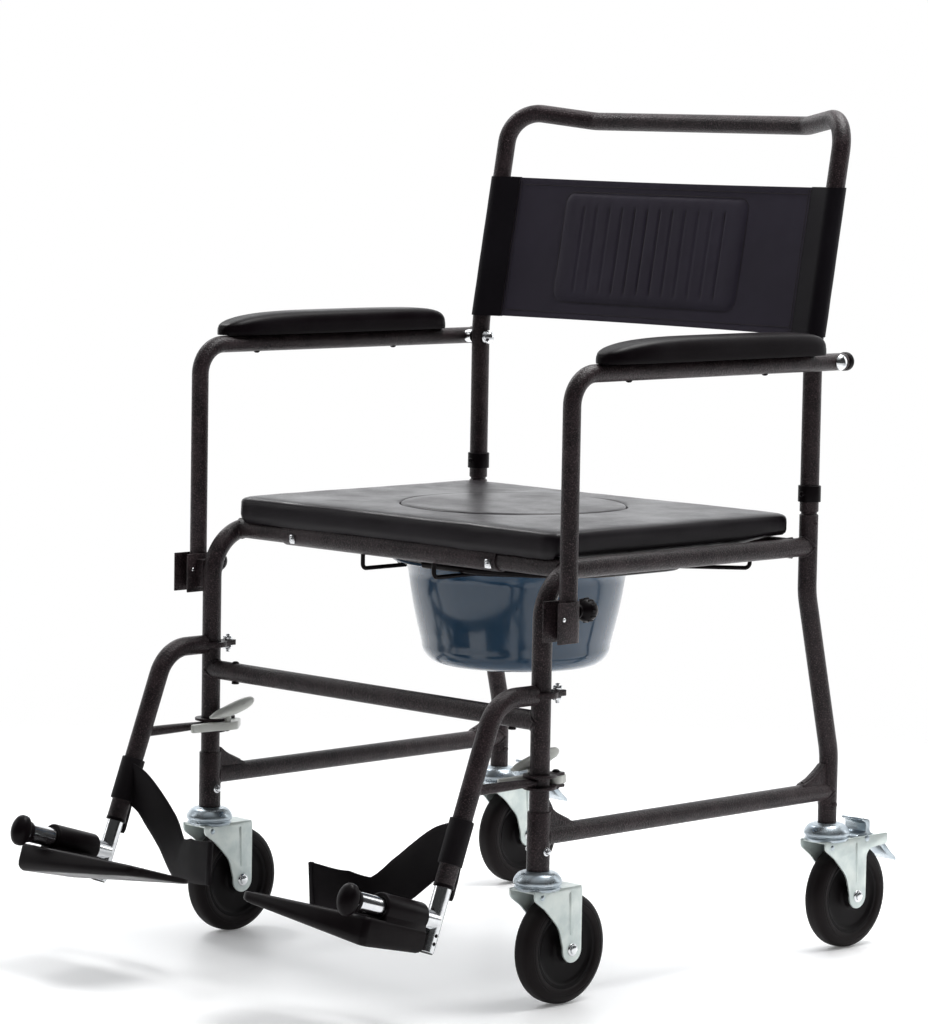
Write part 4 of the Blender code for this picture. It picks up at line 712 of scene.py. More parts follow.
def eased(points, reach, closed=False, steps=3):
    """The points with each corner rounded, as far as its neighbours leave room."""
    points = [Vector(p) for p in points]
    count = len(points)
    out = [] if closed else [tuple(points[0])]
    for i in range(count) if closed else range(1, count - 1):
        before, corner, after = points[i - 1], points[i], points[(i + 1) % count]
        near = min(reach, (before - corner).length * 0.45, (after - corner).length * 0.45)
        start = corner + (before - corner).normalized() * near
        end = corner + (after - corner).normalized() * near
        for k in range(steps + 1):
            t = k / steps
            out.append(tuple(start * (1 - t) ** 2 + corner * (2 * t * (1 - t)) + end * t ** 2))
    if not closed:
        out.append(tuple(points[-1]))
    return out


def smooth_line(points, count):
    """Points at even steps along a smooth curve through the given ones."""
    points = [Vector(p) for p in points]
    ends = [points[0] * 2 - points[1]] + points + [points[-1] * 2 - points[-2]]
    spans = len(points) - 1
    out = []
    for i in range(count + 1):
        at = min(i * spans / count, spans - 1e-9)
        k = int(at)
        t = at - k
        a, b, c, d = ends[k:k + 4]
        out.append(0.5 * (2 * b + (c - a) * t + (2 * a - 5 * b + 4 * c - d) * t * t
                          + (3 * b - a - 3 * c + d) * t ** 3))
    return out


def skin(shape, rings, looped=False):
    """Faces between rings of equal count, with the first and last filled unless the rings loop."""
    for row, following in zip(rings, rings[1:] + (rings[:1] if looped else [])):
        for i in range(len(row)):
            k = (i + 1) % len(row)
            shape.faces.new((row[i], row[k], following[k], following[i]))
    if not looped:
        shape.faces.new(rings[0][::-1])
        shape.faces.new(rings[-1])
    bmesh.ops.recalc_face_normals(shape, faces=shape.faces)


def swept(points, radii, sides=TUBE_SIDES, closed=False, across=None):
    """A round bar along the points. A radius may be a pair, for an oval whose first axis starts along across."""
    points = [Vector(p) for p in points]
    count = len(points)
    if not isinstance(radii, list):
        radii = [radii] * count
    middle = sum(points, Vector()) / count
    side = Vector(across) if across else None
    shape = bmesh.new()
    rings = []
    for i, (point, radius) in enumerate(zip(points, radii)):
        before = points[i - 1] if closed or i else point
        after = points[(i + 1) % count] if closed or i < count - 1 else point
        run = (after - before).normalized()
        if closed:
            side = point - middle
        elif side is None:
            side = run.orthogonal()
        side = (side - run * side.dot(run)).normalized()
        up = run.cross(side)
        wide, high = radius if isinstance(radius, tuple) else (radius, radius)
        rings.append([shape.verts.new(point + side * (wide * c) + up * (high * k)) for c, k in circle(sides)])
    skin(shape, rings, looped=closed)
    return new_mesh(shape)


def loft(rings, looped=False):
    shape = bmesh.new()
    skin(shape, [[shape.verts.new(point) for point in ring] for ring in rings], looped)
    return new_mesh(shape)


def turned(profile, place=None, steps=48, closed=False):
    """A profile of (radius, height) points turned about its height axis."""
    shape = bmesh.new()
    rows = []
    for radius, height in profile:
        if radius < 1e-6:
            rows.append([shape.verts.new((0, 0, height))])
        else:
            rows.append([shape.verts.new((radius * c, radius * k, height)) for c, k in circle(steps)])
    for row, following in zip(rows, rows[1:] + (rows[:1] if closed else [])):
        for i in range(steps):
            k = (i + 1) % steps
            corners = [row[i % len(row)], row[k % len(row)],
                       following[k % len(following)], following[i % len(following)]]
            shape.faces.new(list(dict.fromkeys(corners)))
    bmesh.ops.recalc_face_normals(shape, faces=shape.faces)
    mesh = new_mesh(shape)
    if place:
        mesh.transform(place)
    return mesh


def hollow_ring(outer, inner, start, end, place, edge, steps=40):
    """A ring or a short tube between two heights on its axis."""
    wall = [(outer, start), (outer, end), (inner, end), (inner, start)]
    return turned(eased(wall, edge, closed=True), place, steps, closed=True)


def break_edges(shape, width):
    """Rounds the edges of a shape that are sharper than 50 degrees."""
    rim = [e for e in shape.edges if len(e.link_faces) == 2 and e.calc_face_angle() > math.radians(50)]
    bmesh.ops.bevel(shape, geom=rim, offset=width, segments=2, affect="EDGES", profile=0.5, clamp_overlap=True)


def plate(outline, thickness, place, edge=0.0006):
    """A flat outline with a thickness and broken edges, centred on the plane that the matrix gives."""
    shape = bmesh.new()
    low, high = ([shape.verts.new((p[0], p[1], h)) for p in outline] for h in (-thickness / 2, thickness / 2))
    skin(shape, [low, high])
    break_edges(shape, edge)
    shape.transform(place)
    return new_mesh(shape)


def block(low, high, edge, place=None):
    low, high = Vector(low), Vector(high)
    shape = bmesh.new()
    bmesh.ops.create_cube(shape, size=1)
    shape.transform(Matrix.Translation((low + high) / 2) @ Matrix.Diagonal((*(high - low), 1)))
    break_edges(shape, edge)
    if place:
        shape.transform(place)
    return new_mesh(shape)


def along(axis, point):
    """A frame at the point whose Z runs along the axis."""
    return Matrix.Translation(point) @ Vector(axis).to_track_quat("Z", "Y").to_matrix().to_4x4()


def axes_at(point, x, y, z):
    """A frame at the point with the given axes."""
    turn = Matrix((x, y, z)).transposed().to_4x4()
    return Matrix.Translation(point) @ turn


def side_plane(x):
    """Places an outline of (Y, Z) points upright at the given X."""
    return Matrix(((0, 0, 1, x), (1, 0, 0, 0), (0, 1, 0, 0), (0, 0, 0, 1)))


def level_plane(z):
    return Matrix.Translation((0, 0, z))


def rod(start, end, radius, edge, steps):
    start, end = Vector(start), Vector(end)
    length = (end - start).length
    profile = eased([(0, length), (radius, length), (radius, 0), (0, 0)], edge)
    return turned(profile, along(end - start, start), steps)


def dome_head(point, axis, radius, height):
    """A low domed rivet or screw head whose flat side lies on the point."""
    profile = [(0, height), (radius * 0.45, height * 0.94), (radius * 0.8, height * 0.66), (radius, HEAD_LIP),
               (radius, 0), (0, 0)]
    return turned(eased(profile, radius * 0.15), along(axis, point), 24)


def hex_nut(point, axis, radius, height):
    outline = [(radius * c, radius * k) for c, k in circle(6)]
    return plate(outline, height, along(axis, Vector(point) + Vector(axis).normalized() * height / 2),
                 edge=radius * 0.08)


def weld(point, rail_way, leg_way, leg_r, rail_r, bead=WELD_BEAD_R):
    """A rippled bead of weld where the end of a rail meets the side of a tube."""
    rail_way, leg_way = Vector(rail_way), Vector(leg_way)
    side = rail_way.cross(leg_way)
    points, radii = [], []
    for i, (c, k) in enumerate(circle(64)):
        reach = math.sqrt(max(0.0, leg_r ** 2 - (rail_r * c) ** 2))
        points.append(Vector(point) + rail_way * reach + side * (rail_r * c) + leg_way * (rail_r * k))
        radii.append(bead * (1 + 0.08 * math.sin(i * 2 * math.pi / 4) + 0.06 * math.sin(i * 0.9)))
    return swept(points, radii, 8, closed=True)


def piece(name, body, finish_name, meshes, nodes=(), angle=38):
    """One piece of the chair made of several shapes, moving with a body and standing for its nodes."""
    shape = bmesh.new()
    for mesh in meshes:
        shape.from_mesh(mesh)
        bpy.data.meshes.remove(mesh)
    data = new_mesh(shape, name)
    data.materials.append(finishes[finish_name])
    data.shade_smooth()
    data.set_sharp_from_angle(angle=math.radians(angle))
    obj = bpy.data.objects.new(name, data)
    bpy.context.scene.collection.objects.link(obj)
    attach(obj, body)
    if nodes:
        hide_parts(*nodes)
    return obj


# Frame

def upright_y(z):
    """The Y of an upright's axis at a height above the armrests."""
    return REAR_HIGH_Y + max(0.0, z - LEAN_START_Z) * math.tan(LEAN)


def gusset(x, leg_y, way):
    """A pressed corner plate between a leg and the lower rail, with a rib down its middle."""
    top = LOWER_RAIL_Z + TUBE_R
    outline = [(leg_y + way * 0.008, top - 0.004), (leg_y + way * 0.052, top - 0.004),
               (leg_y + way * 0.050, top + 0.0005), (leg_y + way * 0.034, top + 0.0065),
               (leg_y + way * 0.019, top + 0.016), (leg_y + way * 0.0125, top + 0.0215),
               (leg_y + way * 0.008, top + 0.0215)]
    rib = swept([(x, leg_y + way * 0.012, top + 0.019), (x, leg_y + way * 0.022, top + 0.010),
                 (x, leg_y + way * 0.046, top + 0.0005)], [0.003, 0.0045, 0.003], 12)
    return [plate(eased(outline, 0.003, closed=True), 0.0120, side_plane(x), edge=0.0012), rib]


def build_side_frame(label, s):
    x = s * HALF_TRACK
    corners = [(x, FRONT_Y, LEG_BOTTOM_Z), (x, FRONT_Y, SEAT_RAIL_Z), (x, REAR_HIGH_Y, SEAT_RAIL_Z)]
    bend_z = SEAT_RAIL_Z - SEAT_BEND_R + math.sqrt(SEAT_BEND_R ** 2 - (SEAT_BEND_R - FRONT_RAIL_BACK) ** 2)
    inward = Vector((-s, 0, 0))
    side = [swept(rounded_path(corners, SEAT_BEND_R), TUBE_R),
            weld((x, FRONT_RAIL_Y, (bend_z + SEAT_RAIL_Z) / 2), inward, Y_AXIS, TUBE_R, TUBE_R),
            weld((x, REAR_RAIL_Y, SEAT_RAIL_Z), inward, Y_AXIS, TUBE_R, TUBE_R),
            weld((x, FRONT_Y, CROSSBAR_Z), inward, Z_AXIS, TUBE_R, TUBE_R),
            weld((x, REAR_HIGH_Y, SEAT_RAIL_Z), -Y_AXIS, Z_AXIS, TUBE_R, TUBE_R)]
    piece(label + "_side_tube", "frame", "hammered_enamel", side, ["side_tube_" + label])

    neck_z = JOINT_Z - NECK_DROP
    corners = [(x, REAR_LOW_Y, LEG_BOTTOM_Z), (x, REAR_LOW_Y, KINK_LOW_Z), (x, REAR_HIGH_Y, KINK_HIGH_Z),
               (x, REAR_HIGH_Y, JOINT_Z - GAP / 2)]
    path = rounded_path(corners, KINK_R, math.radians(2))
    points = path[:-1] + [Vector((x, REAR_HIGH_Y, neck_z + up)) for up, _ in NECK] + path[-1:]
    radii = [TUBE_R] * (len(path) - 1) + [TUBE_R * share for _, share in NECK] + [TUBE_R]
    leg = [swept(points, radii)]
    for way in (-1, 1):
        start = (x + way * (TUBE_R - 0.0005), REAR_LOW_Y, LEG_BUTTON_Z)
        leg.append(dome_head(start, (way, 0, 0), 0.0045, 0.0024))
    leg.append(dome_head((x + s * (TUBE_R - 0.0004), REAR_HIGH_Y, neck_z - 0.012), (s, 0, 0), 0.0030, 0.0018))
    piece(label + "_rear_leg", "frame", "hammered_enamel", leg, ["rear_leg_" + label])

    low_rail = [swept([(x, FRONT_Y + 0.002, LOWER_RAIL_Z), (x, REAR_LOW_Y - 0.002, LOWER_RAIL_Z)], TUBE_R),
                hollow_ring(SLEEVE_R, TUBE_R + GAP, LEG_BOTTOM_Z + 0.0002, LEG_SLEEVE_TOP_Z,
                            Matrix.Translation((x, FRONT_Y, 0)), 0.0005),
                weld((x, FRONT_Y, LOWER_RAIL_Z), Y_AXIS, Z_AXIS, SLEEVE_R, TUBE_R),
                weld((x, REAR_LOW_Y, LOWER_RAIL_Z), -Y_AXIS, Z_AXIS, TUBE_R, TUBE_R),
                *gusset(x, FRONT_Y, 1), *gusset(x, REAR_LOW_Y, -1)]
    piece(label + "_lower_rail", "frame", "hammered_enamel", low_rail, ["lower_side_rail_" + label])

    studs = []
    for way in (-1, 1):
        start = Vector((x + way * (SLEEVE_R - 0.0004), FRONT_Y, LEG_BUTTON_Z))
        studs.append(dome_head(start, (way, 0, 0), 0.0048, 0.0012))
        studs.append(turned(eased([(0, 0.0052), (0.0027, 0.0052), (0.0031, 0), (0, 0)], 0.0012),
                            along((way, 0, 0), start), 24))
    piece(label + "_leg_button", "frame", "chrome", studs)


def seat_buttons():
    """Sprung buttons that stand out of the front rail's sleeve and its inner tube."""
    made = []
    for x, radius in SEAT_BUTTONS:
        place = axes_at((x, FRONT_RAIL_Y - radius + 0.0006, SEAT_RAIL_Z - 0.0035), X_AXIS, Z_AXIS, -Y_AXIS)
        made.append(block((-0.0042, -0.0052, -0.001), (0.0042, 0.0052, 0.0030), 0.0010, place))
        made.append(dome_head(place @ Vector((0, 0, 0.0028)), -Y_AXIS, 0.0024, 0.0012))
    return made


def cross_tube(y, z):
    """A tube across the chair, let a little into the side frames."""
    reach = HALF_TRACK - RAIL_SET_IN
    return swept([(-reach, y, z), (reach, y, z)], TUBE_R)


def build_cross_rails():
    sleeve = hollow_ring(SLEEVE_R, TUBE_R - 0.001, RAIL_SLEEVE_HALF, -RAIL_SLEEVE_HALF,
                         along(X_AXIS, (RAIL_SLEEVE_X, FRONT_RAIL_Y, SEAT_RAIL_Z)), 0.0006)
    piece("front_rail", "frame", "hammered_enamel", [cross_tube(FRONT_RAIL_Y, SEAT_RAIL_Z), sleeve],
          ["front_seat_rail"])
    piece("rear_rail", "frame", "hammered_enamel", [cross_tube(REAR_RAIL_Y, SEAT_RAIL_Z)], ["rear_seat_rail"])
    piece("front_bar", "frame", "hammered_enamel", [cross_tube(FRONT_Y, CROSSBAR_Z)], ["front_crossbar"])
    screws = []
    for x in (-CROSSBAR_SCREW_X, CROSSBAR_SCREW_X):
        screws.append(dome_head((x, FRONT_Y, CROSSBAR_Z + TUBE_R - 0.0004), Z_AXIS, 0.0042, 0.0026))
        screws.append(hex_nut((x, FRONT_Y, CROSSBAR_Z - TUBE_R + 0.0004), -Z_AXIS, 0.0046, 0.0032))
    piece("front_bar_screws", "frame", "black_plastic", screws)
    piece("seat_rail_buttons", "frame", "chrome", seat_buttons())


# Backrest

def build_backrest():
    bottom = JOINT_Z + GAP / 2
    left = [(HALF_TRACK, REAR_HIGH_Y, bottom), (HALF_TRACK, REAR_HIGH_Y, LEAN_START_Z),
            (HALF_TRACK, upright_y(HANDLE_Z), HANDLE_Z), (HANDLE_BAR_HALF, HANDLE_Y, HANDLE_BAR_Z)]
    right = [(-x, y, z) for x, y, z in left[::-1]]
    path = rounded_path(left + right, BACK_BEND_RADII)
    piece("push_handle_tube", "frame", "hammered_enamel", [swept(path, TUBE_R)], ["backrest_tube"])
    for label, s in SIDES:
        x = s * HALF_TRACK
        collar = [hollow_ring(TUBE_R + 0.0023, TUBE_R + GAP, COLLAR_HALF, -COLLAR_HALF,
                              Matrix.Translation((x, REAR_HIGH_Y, JOINT_Z)), 0.0008)]
        for way in (-1, 1):
            start = (x, REAR_HIGH_Y + way * (TUBE_R + 0.0012), JOINT_Z)
            button = eased([(0, 0.0034), (0.0024, 0.0034), (0.0032, 0.0022), (0.0036, 0), (0, 0)], 0.0006)
            collar.append(turned(button, along((0, way, 0), start), 24))
        piece(label + "_back_collar", "frame", "black_plastic", collar, ["back_collar_" + label])


def panel_inset(x, z):
    """How far a point lies inside the rounded outline of the padded panel, or less than 0 outside it."""
    dx = abs(x - PANEL_X) - (PANEL_HALF - PANEL_CORNER)
    dz = abs(z - PANEL_MIDDLE_Z) - (PANEL_HALF_Z - PANEL_CORNER)
    outside = math.hypot(max(dx, 0), max(dz, 0)) + min(max(dx, dz), 0)
    return PANEL_CORNER - outside


def stitch_dip(x, z):
    """The depth share of the nearest sewn channel."""
    near = min(abs(x - at) for at in CHANNEL_LINES)
    ends = (part_of(z - CHANNEL_LOW + CHANNEL_FADE, 2 * CHANNEL_FADE)
            * part_of(CHANNEL_HIGH + CHANNEL_FADE - z, 2 * CHANNEL_FADE))
    return math.exp(-(near / CHANNEL_REACH) ** 2) * ends


def cloth_swell(x, z):
    """How far the front cloth stands off the sling's middle plane."""
    inset = panel_inset(x, z)
    ripple = 0.0004 * waver(x * 14, z * 22, 1.7) + 0.0002 * waver(x * 60, z * 40, 9)
    seam = PANEL_SEAM_DEPTH * math.exp(-(inset / PANEL_SEAM_REACH) ** 2)
    if inset <= 0:
        return CLOTH_HALF + ripple - seam * 0.5
    puff = PANEL_PUFF * (1 - math.exp(-inset / PANEL_PUFF_REACH))
    sewn = CHANNEL_DEPTH * stitch_dip(x, z)
    row = 0.0003 * waver(x * 90, z * 12, 3)
    return CLOTH_HALF + max(0.0, puff - sewn - seam + row) + ripple


def sling_sag(x, z):
    """The cloth bows a little to the rear between the uprights, most half way up."""
    share = 1 - (x / HALF_TRACK) ** 2
    up = (z - SLING_LOW_Z) / (SLING_HIGH_Z - SLING_LOW_Z)
    return SLING_SAG * share * (0.6 + 0.8 * math.sin(math.pi * up))


def sling_mesh(columns=236, rows=84):
    """The front and back cloth between the two sleeves, closed round the edges."""
    reach = HALF_TRACK - SLEEVE_SEAM + SLEEVE_TUCK
    rings = []
    for k in range(rows + 1):
        z = SLING_LOW_Z + 0.0006 + (SLING_HIGH_Z - SLING_LOW_Z - 0.0012) * k / rows
        fold = 0.0004 if min(k, rows - k) < 3 else 0.0
        front, back = [], []
        for i in range(columns + 1):
            x = reach * (2 * i / columns - 1)
            y = upright_y(z) + sling_sag(x, z)
            swell = cloth_swell(x, z)
            droop = SLING_EDGE_DROOP * math.sin(math.pi * i / columns) * (1 - 2 * k / rows)
            front.append((x, y - swell - fold, z + droop))
            back.append((x, y + 0.6 * (swell - CLOTH_HALF) + CLOTH_HALF + fold, z + droop))
        rings.append(front + back[::-1])
    return loft(rings)


def sleeve_outline(s, z, radius, seam_half, steps=40, straight=9):
    """One face of a sleeve at a height: from its seam round the upright and back."""
    turn = math.degrees(math.acos((radius - seam_half) / SLEEVE_SEAM))
    radius += 0.0003 * waver(s * 4, z * 30, radius * 90)
    a = math.radians(turn)
    seam, touch = Vector((-SLEEVE_SEAM, seam_half)), Vector((-radius * math.cos(a), radius * math.sin(a)))
    outline = [seam.lerp(touch, t / straight) for t in range(straight)]
    for t in range(steps + 1):
        a = math.radians(180 - turn - (360 - 2 * turn) * t / steps)
        outline.append(Vector((radius * math.cos(a), radius * math.sin(a))))
    a = math.radians(180 - turn)
    touch, seam = Vector((radius * math.cos(a), -radius * math.sin(a))), Vector((-SLEEVE_SEAM, -seam_half))
    return outline + [touch.lerp(seam, (t + 1) / straight) for t in range(straight)]


def sleeve_mesh(s, rows=40):
    """A hollow sleeve of cloth, drawn tight round an upright and tapering to its seam."""
    inner_r = TUBE_R + SLEEVE_CLEAR
    rings = []
    for k in range(rows + 1):
        z = SLING_LOW_Z + (SLING_HIGH_Z - SLING_LOW_Z) * k / rows
        outer = sleeve_outline(s, z, inner_r + SLEEVE_WALL, CLOTH_HALF + SLEEVE_WALL)
        inner = sleeve_outline(s, z, inner_r, 0.0004)
        rings.append([(s * (HALF_TRACK + p.x), upright_y(z) + p.y, z) for p in outer + inner[::-1]])
    return loft(rings)


def thread_run(points, step=STITCH_STEP):
    """Stitches along a line: short capsules, each sunk a little at its ends."""
    made = []
    points = [Vector(p) for p in points]
    low = Vector((0, THREAD_R * 0.35, 0))
    radii = [THREAD_R * 0.5, THREAD_R, THREAD_R * 1.1, THREAD_R, THREAD_R * 0.5]
    for a, b in zip(points, points[1:]):
        count = max(1, round((b - a).length / step))
        for i in range(count):
            start = a.lerp(b, (i + 0.12) / count)
            end = a.lerp(b, (i + 0.88) / count)
            middle = (start + end) / 2
            made.append(swept([start + low, start.lerp(middle, 0.4), middle, middle.lerp(end, 0.6), end + low],
                              radii, 6))
    return made


def on_sling(x, z):
    """A point just in front of the sling's front cloth."""
    return (x, upright_y(z) + sling_sag(x, z) - cloth_swell(x, z) - 0.0002, z)


def sling_seams():
    seams = []
    for x in CHANNEL_LINES:
        wobble = [x + 0.0005 * waver(x * 50, i * 0.8, 2) for i in range(9)]
        heights = [CHANNEL_LOW + (CHANNEL_HIGH - CHANNEL_LOW) * i / 8 for i in range(9)]
        seams += thread_run([on_sling(w, z) for w, z in zip(wobble, heights)])
    outline = [(-PANEL_HALF, -PANEL_HALF_Z), (PANEL_HALF, -PANEL_HALF_Z), (PANEL_HALF, PANEL_HALF_Z),
               (-PANEL_HALF, PANEL_HALF_Z)]
    border = eased(outline, PANEL_CORNER, closed=True, steps=6)
    seams += thread_run([on_sling(PANEL_X + x, PANEL_MIDDLE_Z + z) for x, z in border + border[:1]])
    for _, s in SIDES:
        for inset in (0.0, 0.0035):
            x = s * (HALF_TRACK - SLEEVE_SEAM - 0.0008 - inset)
            line = [(x, upright_y(z) - CLOTH_HALF - 0.0009, z) for z in (SLING_LOW_Z + 0.003, SLING_HIGH_Z - 0.003)]
            seams += thread_run(line, SEAM_STITCH_STEP)
    inner = HALF_TRACK - SLEEVE_SEAM - 0.006
    for z in (SLING_LOW_Z + 0.009, SLING_HIGH_Z - 0.009):
        seams += thread_run([on_sling(inner * (i / 12 * 2 - 1), z) for i in range(13)], SEAM_STITCH_STEP)
    return seams


def build_sling():
    cloth = piece("sling", "frame", "sling_cloth", [sling_mesh()], ["backrest_sling"], angle=60)
    # The sleeves wear a much darker copy of the sling's cloth, as painted shade
    sleeves = piece("sling_sleeves", "frame", "sleeve_cloth_painted_shade", [sleeve_mesh(s) for _, s in SIDES], angle=60)
    threads = piece("sling_stitches", "frame", "sewing_thread", sling_seams())


# Armrests

def pad_section(half, top):
    """Half breadth and height to a closed section: flat base, upright sides, softly crowned top."""
    side = 0.0035 * top / ARM_PAD_THICK
    points = []
    for i in range(31):
        a = math.pi * i / 30
        c, k = math.cos(a), math.sin(a)
        points.append((half * math.copysign(abs(c) ** 0.42, c), side + (top - side) * k ** 0.62))
    return [(half * 0.965, 0.0)] + points + [(-half * 0.965, 0.0)]


def arm_pad_mesh(s):
    """The pad, thinner towards its ends, with a fine moulding line along its sides."""
    base_z = ARM_Z + ARM_TUBE_R + GAP
    middle_x = HALF_TRACK + TUBE_R + GAP + CAD_SLEEVE_WALL + ARM_PAD_CLEAR + ARM_PAD_HALF_WIDTH
    shrink = ARM_PAD_LENGTH / ARM_PAD_KEYS[-1][0]
    keys = [(distance * shrink, breadth, height) for distance, breadth, height in ARM_PAD_KEYS]
    rings = []
    for station in smooth_line(keys, 112):
        half = ARM_PAD_HALF_WIDTH * min(station.y, 1.0)
        top = ARM_PAD_THICK * min(station.z, 1.0)
        y = FRONT_Y + ARM_PAD_FRONT + min(max(station.x, 0.0), ARM_PAD_LENGTH)
        ring = []
        for across, up in pad_section(half, top):
            mould = ARM_PAD_LINE_DEPTH * math.exp(-((up / ARM_PAD_THICK - ARM_PAD_LINE_AT) / ARM_PAD_LINE_REACH) ** 2)
            ring.append((s * (middle_x + across - math.copysign(mould, across)), y, base_z + up))
        rings.append(ring)
    return loft(rings)


def build_armrest(label, s):
    x = s * POST_X
    body = "armrest_" + label
    tail_y = REAR_HIGH_Y + ARM_TAIL
    corners = [(x, POST_Y, POST_BOTTOM_Z), (x, POST_Y, ARM_Z), (x, tail_y, ARM_Z)]
    arm = [swept(rounded_path(corners, ARM_BEND_R), ARM_TUBE_R)]
    piece(label + "_arm_tube", body, "hammered_enamel", arm, ["armrest_tube_" + label])
    cap_r = ARM_TUBE_R + 0.0008
    dome = [(0, 0.0070), (0.0048, 0.0064), (0.0082, 0.0044), (cap_r - 0.0006, 0.0016), (cap_r, 0.0),
            (cap_r, -0.0060), (0, -0.0060)]
    piece(label + "_arm_end_cap", body, "black_plastic",
          [turned(eased(dome, 0.0015), along(Y_AXIS, (x, tail_y, ARM_Z)), 36)])
    screws = [dome_head((x, FRONT_Y + back, ARM_Z - ARM_TUBE_R + 0.0003), -Z_AXIS, 0.0036, 0.0022)
              for back in ARM_SCREWS_BACK]
    piece(label + "_arm_pad_screws", body, "black_plastic", screws)
    pad = piece(label + "_arm_pad", body, "arm_foam", [arm_pad_mesh(s)], ["armrest_pad_" + label], angle=60)

    inner_face = HALF_TRACK - TUBE_R - GAP
    outer_face = POST_X + ARM_TUBE_R + GAP
    at = Vector((0, REAR_HIGH_Y, ARM_Z))
    bolt = [dome_head(at + X_AXIS * s * outer_face, (s, 0, 0), BOLT_HEAD_R, 0.0055),
            hollow_ring(0.008, 0.004, POST_X - ARM_TUBE_R - GAP, HALF_TRACK + TUBE_R + GAP, along((s, 0, 0), at),
                        0.0005, 28),
            dome_head(at + X_AXIS * s * inner_face, (-s, 0, 0), BOLT_HEAD_R, 0.0085),
            hex_nut(at + X_AXIS * s * (inner_face - 0.0003), (-s, 0, 0), 0.0088, 0.0045)]
    piece(label + "_arm_pivot", "frame", "chrome", bolt, ["arm_pivot_bolt_" + label])


def build_arm_socket(label, s):
    """A bent plate round the armrest post, welded to the leg, with a lock knob at its back."""
    x = s * POST_X
    inner = ARM_TUBE_R + GAP
    outer = inner + SOCKET_WALL
    front = POST_Y - SOCKET_FLANGE
    top = SOCKET_LOW_Z + SOCKET_HEIGHT
    middle = (SOCKET_LOW_Z + top) / 2
    outline = [(x + outer, front)] + arc((x, POST_Y), outer, 0, 180, 28) + [(x - outer, front)]
    outline += [(x - inner, front)] + arc((x, POST_Y), inner, 180, 0, 28) + [(x + inner, front)]
    socket = [plate(outline, SOCKET_HEIGHT, level_plane(middle), edge=0.0005)]
    near, far = sorted((s * (HALF_TRACK + TUBE_R - 0.0035), s * (POST_X - outer + 0.0012)))
    socket.append(block((near, FRONT_Y - 0.008, SOCKET_LOW_Z + 0.006), (far, FRONT_Y + 0.008, top - 0.006), 0.002))
    piece(label + "_arm_socket", "frame", "hammered_enamel", socket, ["arm_socket_" + label])
    rivets = []
    for way in (-1, 1):
        rivets.append(turned(eased([(0, 0.0012), (0.0012, 0.0011), (0.0022, 0.0004), (0.0024, 0), (0, 0)], 0.0004),
                             along((way, 0, 0), (x + way * outer, front + 0.0085, middle + 0.004)), 24))
    piece(label + "_socket_rivet", "frame", "chrome", rivets)

    wall = outer + GAP
    ball = wall + 0.007 + KNOB_R * 0.7
    place = along(Y_AXIS, (x, POST_Y, KNOB_Z))
    grip = [(0.0, ball + KNOB_R)]
    for degrees in range(8, 148, 7):
        a = math.radians(degrees)
        grip.append((KNOB_R * math.sin(a), ball + KNOB_R * math.cos(a)))
    grip += [(0.0070, ball - KNOB_R * 0.86), (0.0062, wall + 0.0034), (0.0080, wall + 0.0030), (0.0080, wall),
             (0, wall)]
    knob = [turned(eased(grip, 0.0006), place, 48)]
    rim = KNOB_R * 0.985
    for c, k in circle(12):
        start = place @ Vector((rim * c, rim * k, ball - 0.004))
        end = place @ Vector((rim * c, rim * k, ball + 0.0035))
        knob.append(rod(start, end, 0.0009, 0.0005, 10))
    piece(label + "_lock_knob", "lock_knob_" + label, "black_plastic", knob, ["arm_lock_knob_" + label])
    piece(label + "_lock_plunger", "lock_knob_" + label, "chrome",
          [rod(place @ Vector((0, 0, inner)), place @ Vector((0, 0, wall + 0.001)), 0.003, 0.0006, 24)])


# Seat and pan

def rounded_square(angle, half_x, half_y, corner, draw_in):
    """The edge point of a squarish rectangle in a direction, its sides pulled in between the corners."""
    c, k = math.cos(angle), math.sin(angle)
    power = CORNER_SQUARENESS * (half_x + half_y) / 2 / corner
    reach = (abs(c / half_x) ** power + abs(k / half_y) ** power) ** (-1 / power)
    x, y = reach * c, reach * k
    x *= 1 - draw_in / half_x * max(0.0, 1 - (y / half_y) ** 2) * (abs(x) / half_x) ** 4
    y *= 1 - draw_in / half_y * max(0.0, 1 - (x / half_x) ** 2) * (abs(y) / half_y) ** 4
    return x, y


def rail_top(x, y):
    """The height of the seat rails' upper side over a point, or far below where there is none."""
    across = y - FRONT_RAIL_Y
    front = SEAT_RAIL_Z + math.sqrt(SLEEVE_R ** 2 - across ** 2) if abs(across) < SLEEVE_R else -1.0
    beside = abs(x) - HALF_TRACK
    side = SEAT_RAIL_Z + math.sqrt(TUBE_R ** 2 - beside ** 2) if abs(beside) < TUBE_R else -1.0
    return max(front, side)


def seat_angles(count=96):
    """Directions round the pad, closer together towards its corners."""
    corner = math.atan2(SEAT_DEPTH / 2, SEAT_HALF_WIDTH)
    quarter = []
    for i in range(count):
        a = i / count * math.pi / 2
        pull = 0.55 * math.exp(-((a - corner) / 0.22) ** 2)
        quarter.append(a - (a - corner) * pull)
    mirrored = sorted(math.pi / 2 - a for a in quarter + [math.pi / 2])[:count]
    return [a + turn * math.pi / 2 for turn in range(4) for a in (quarter, mirrored)[turn % 2]]


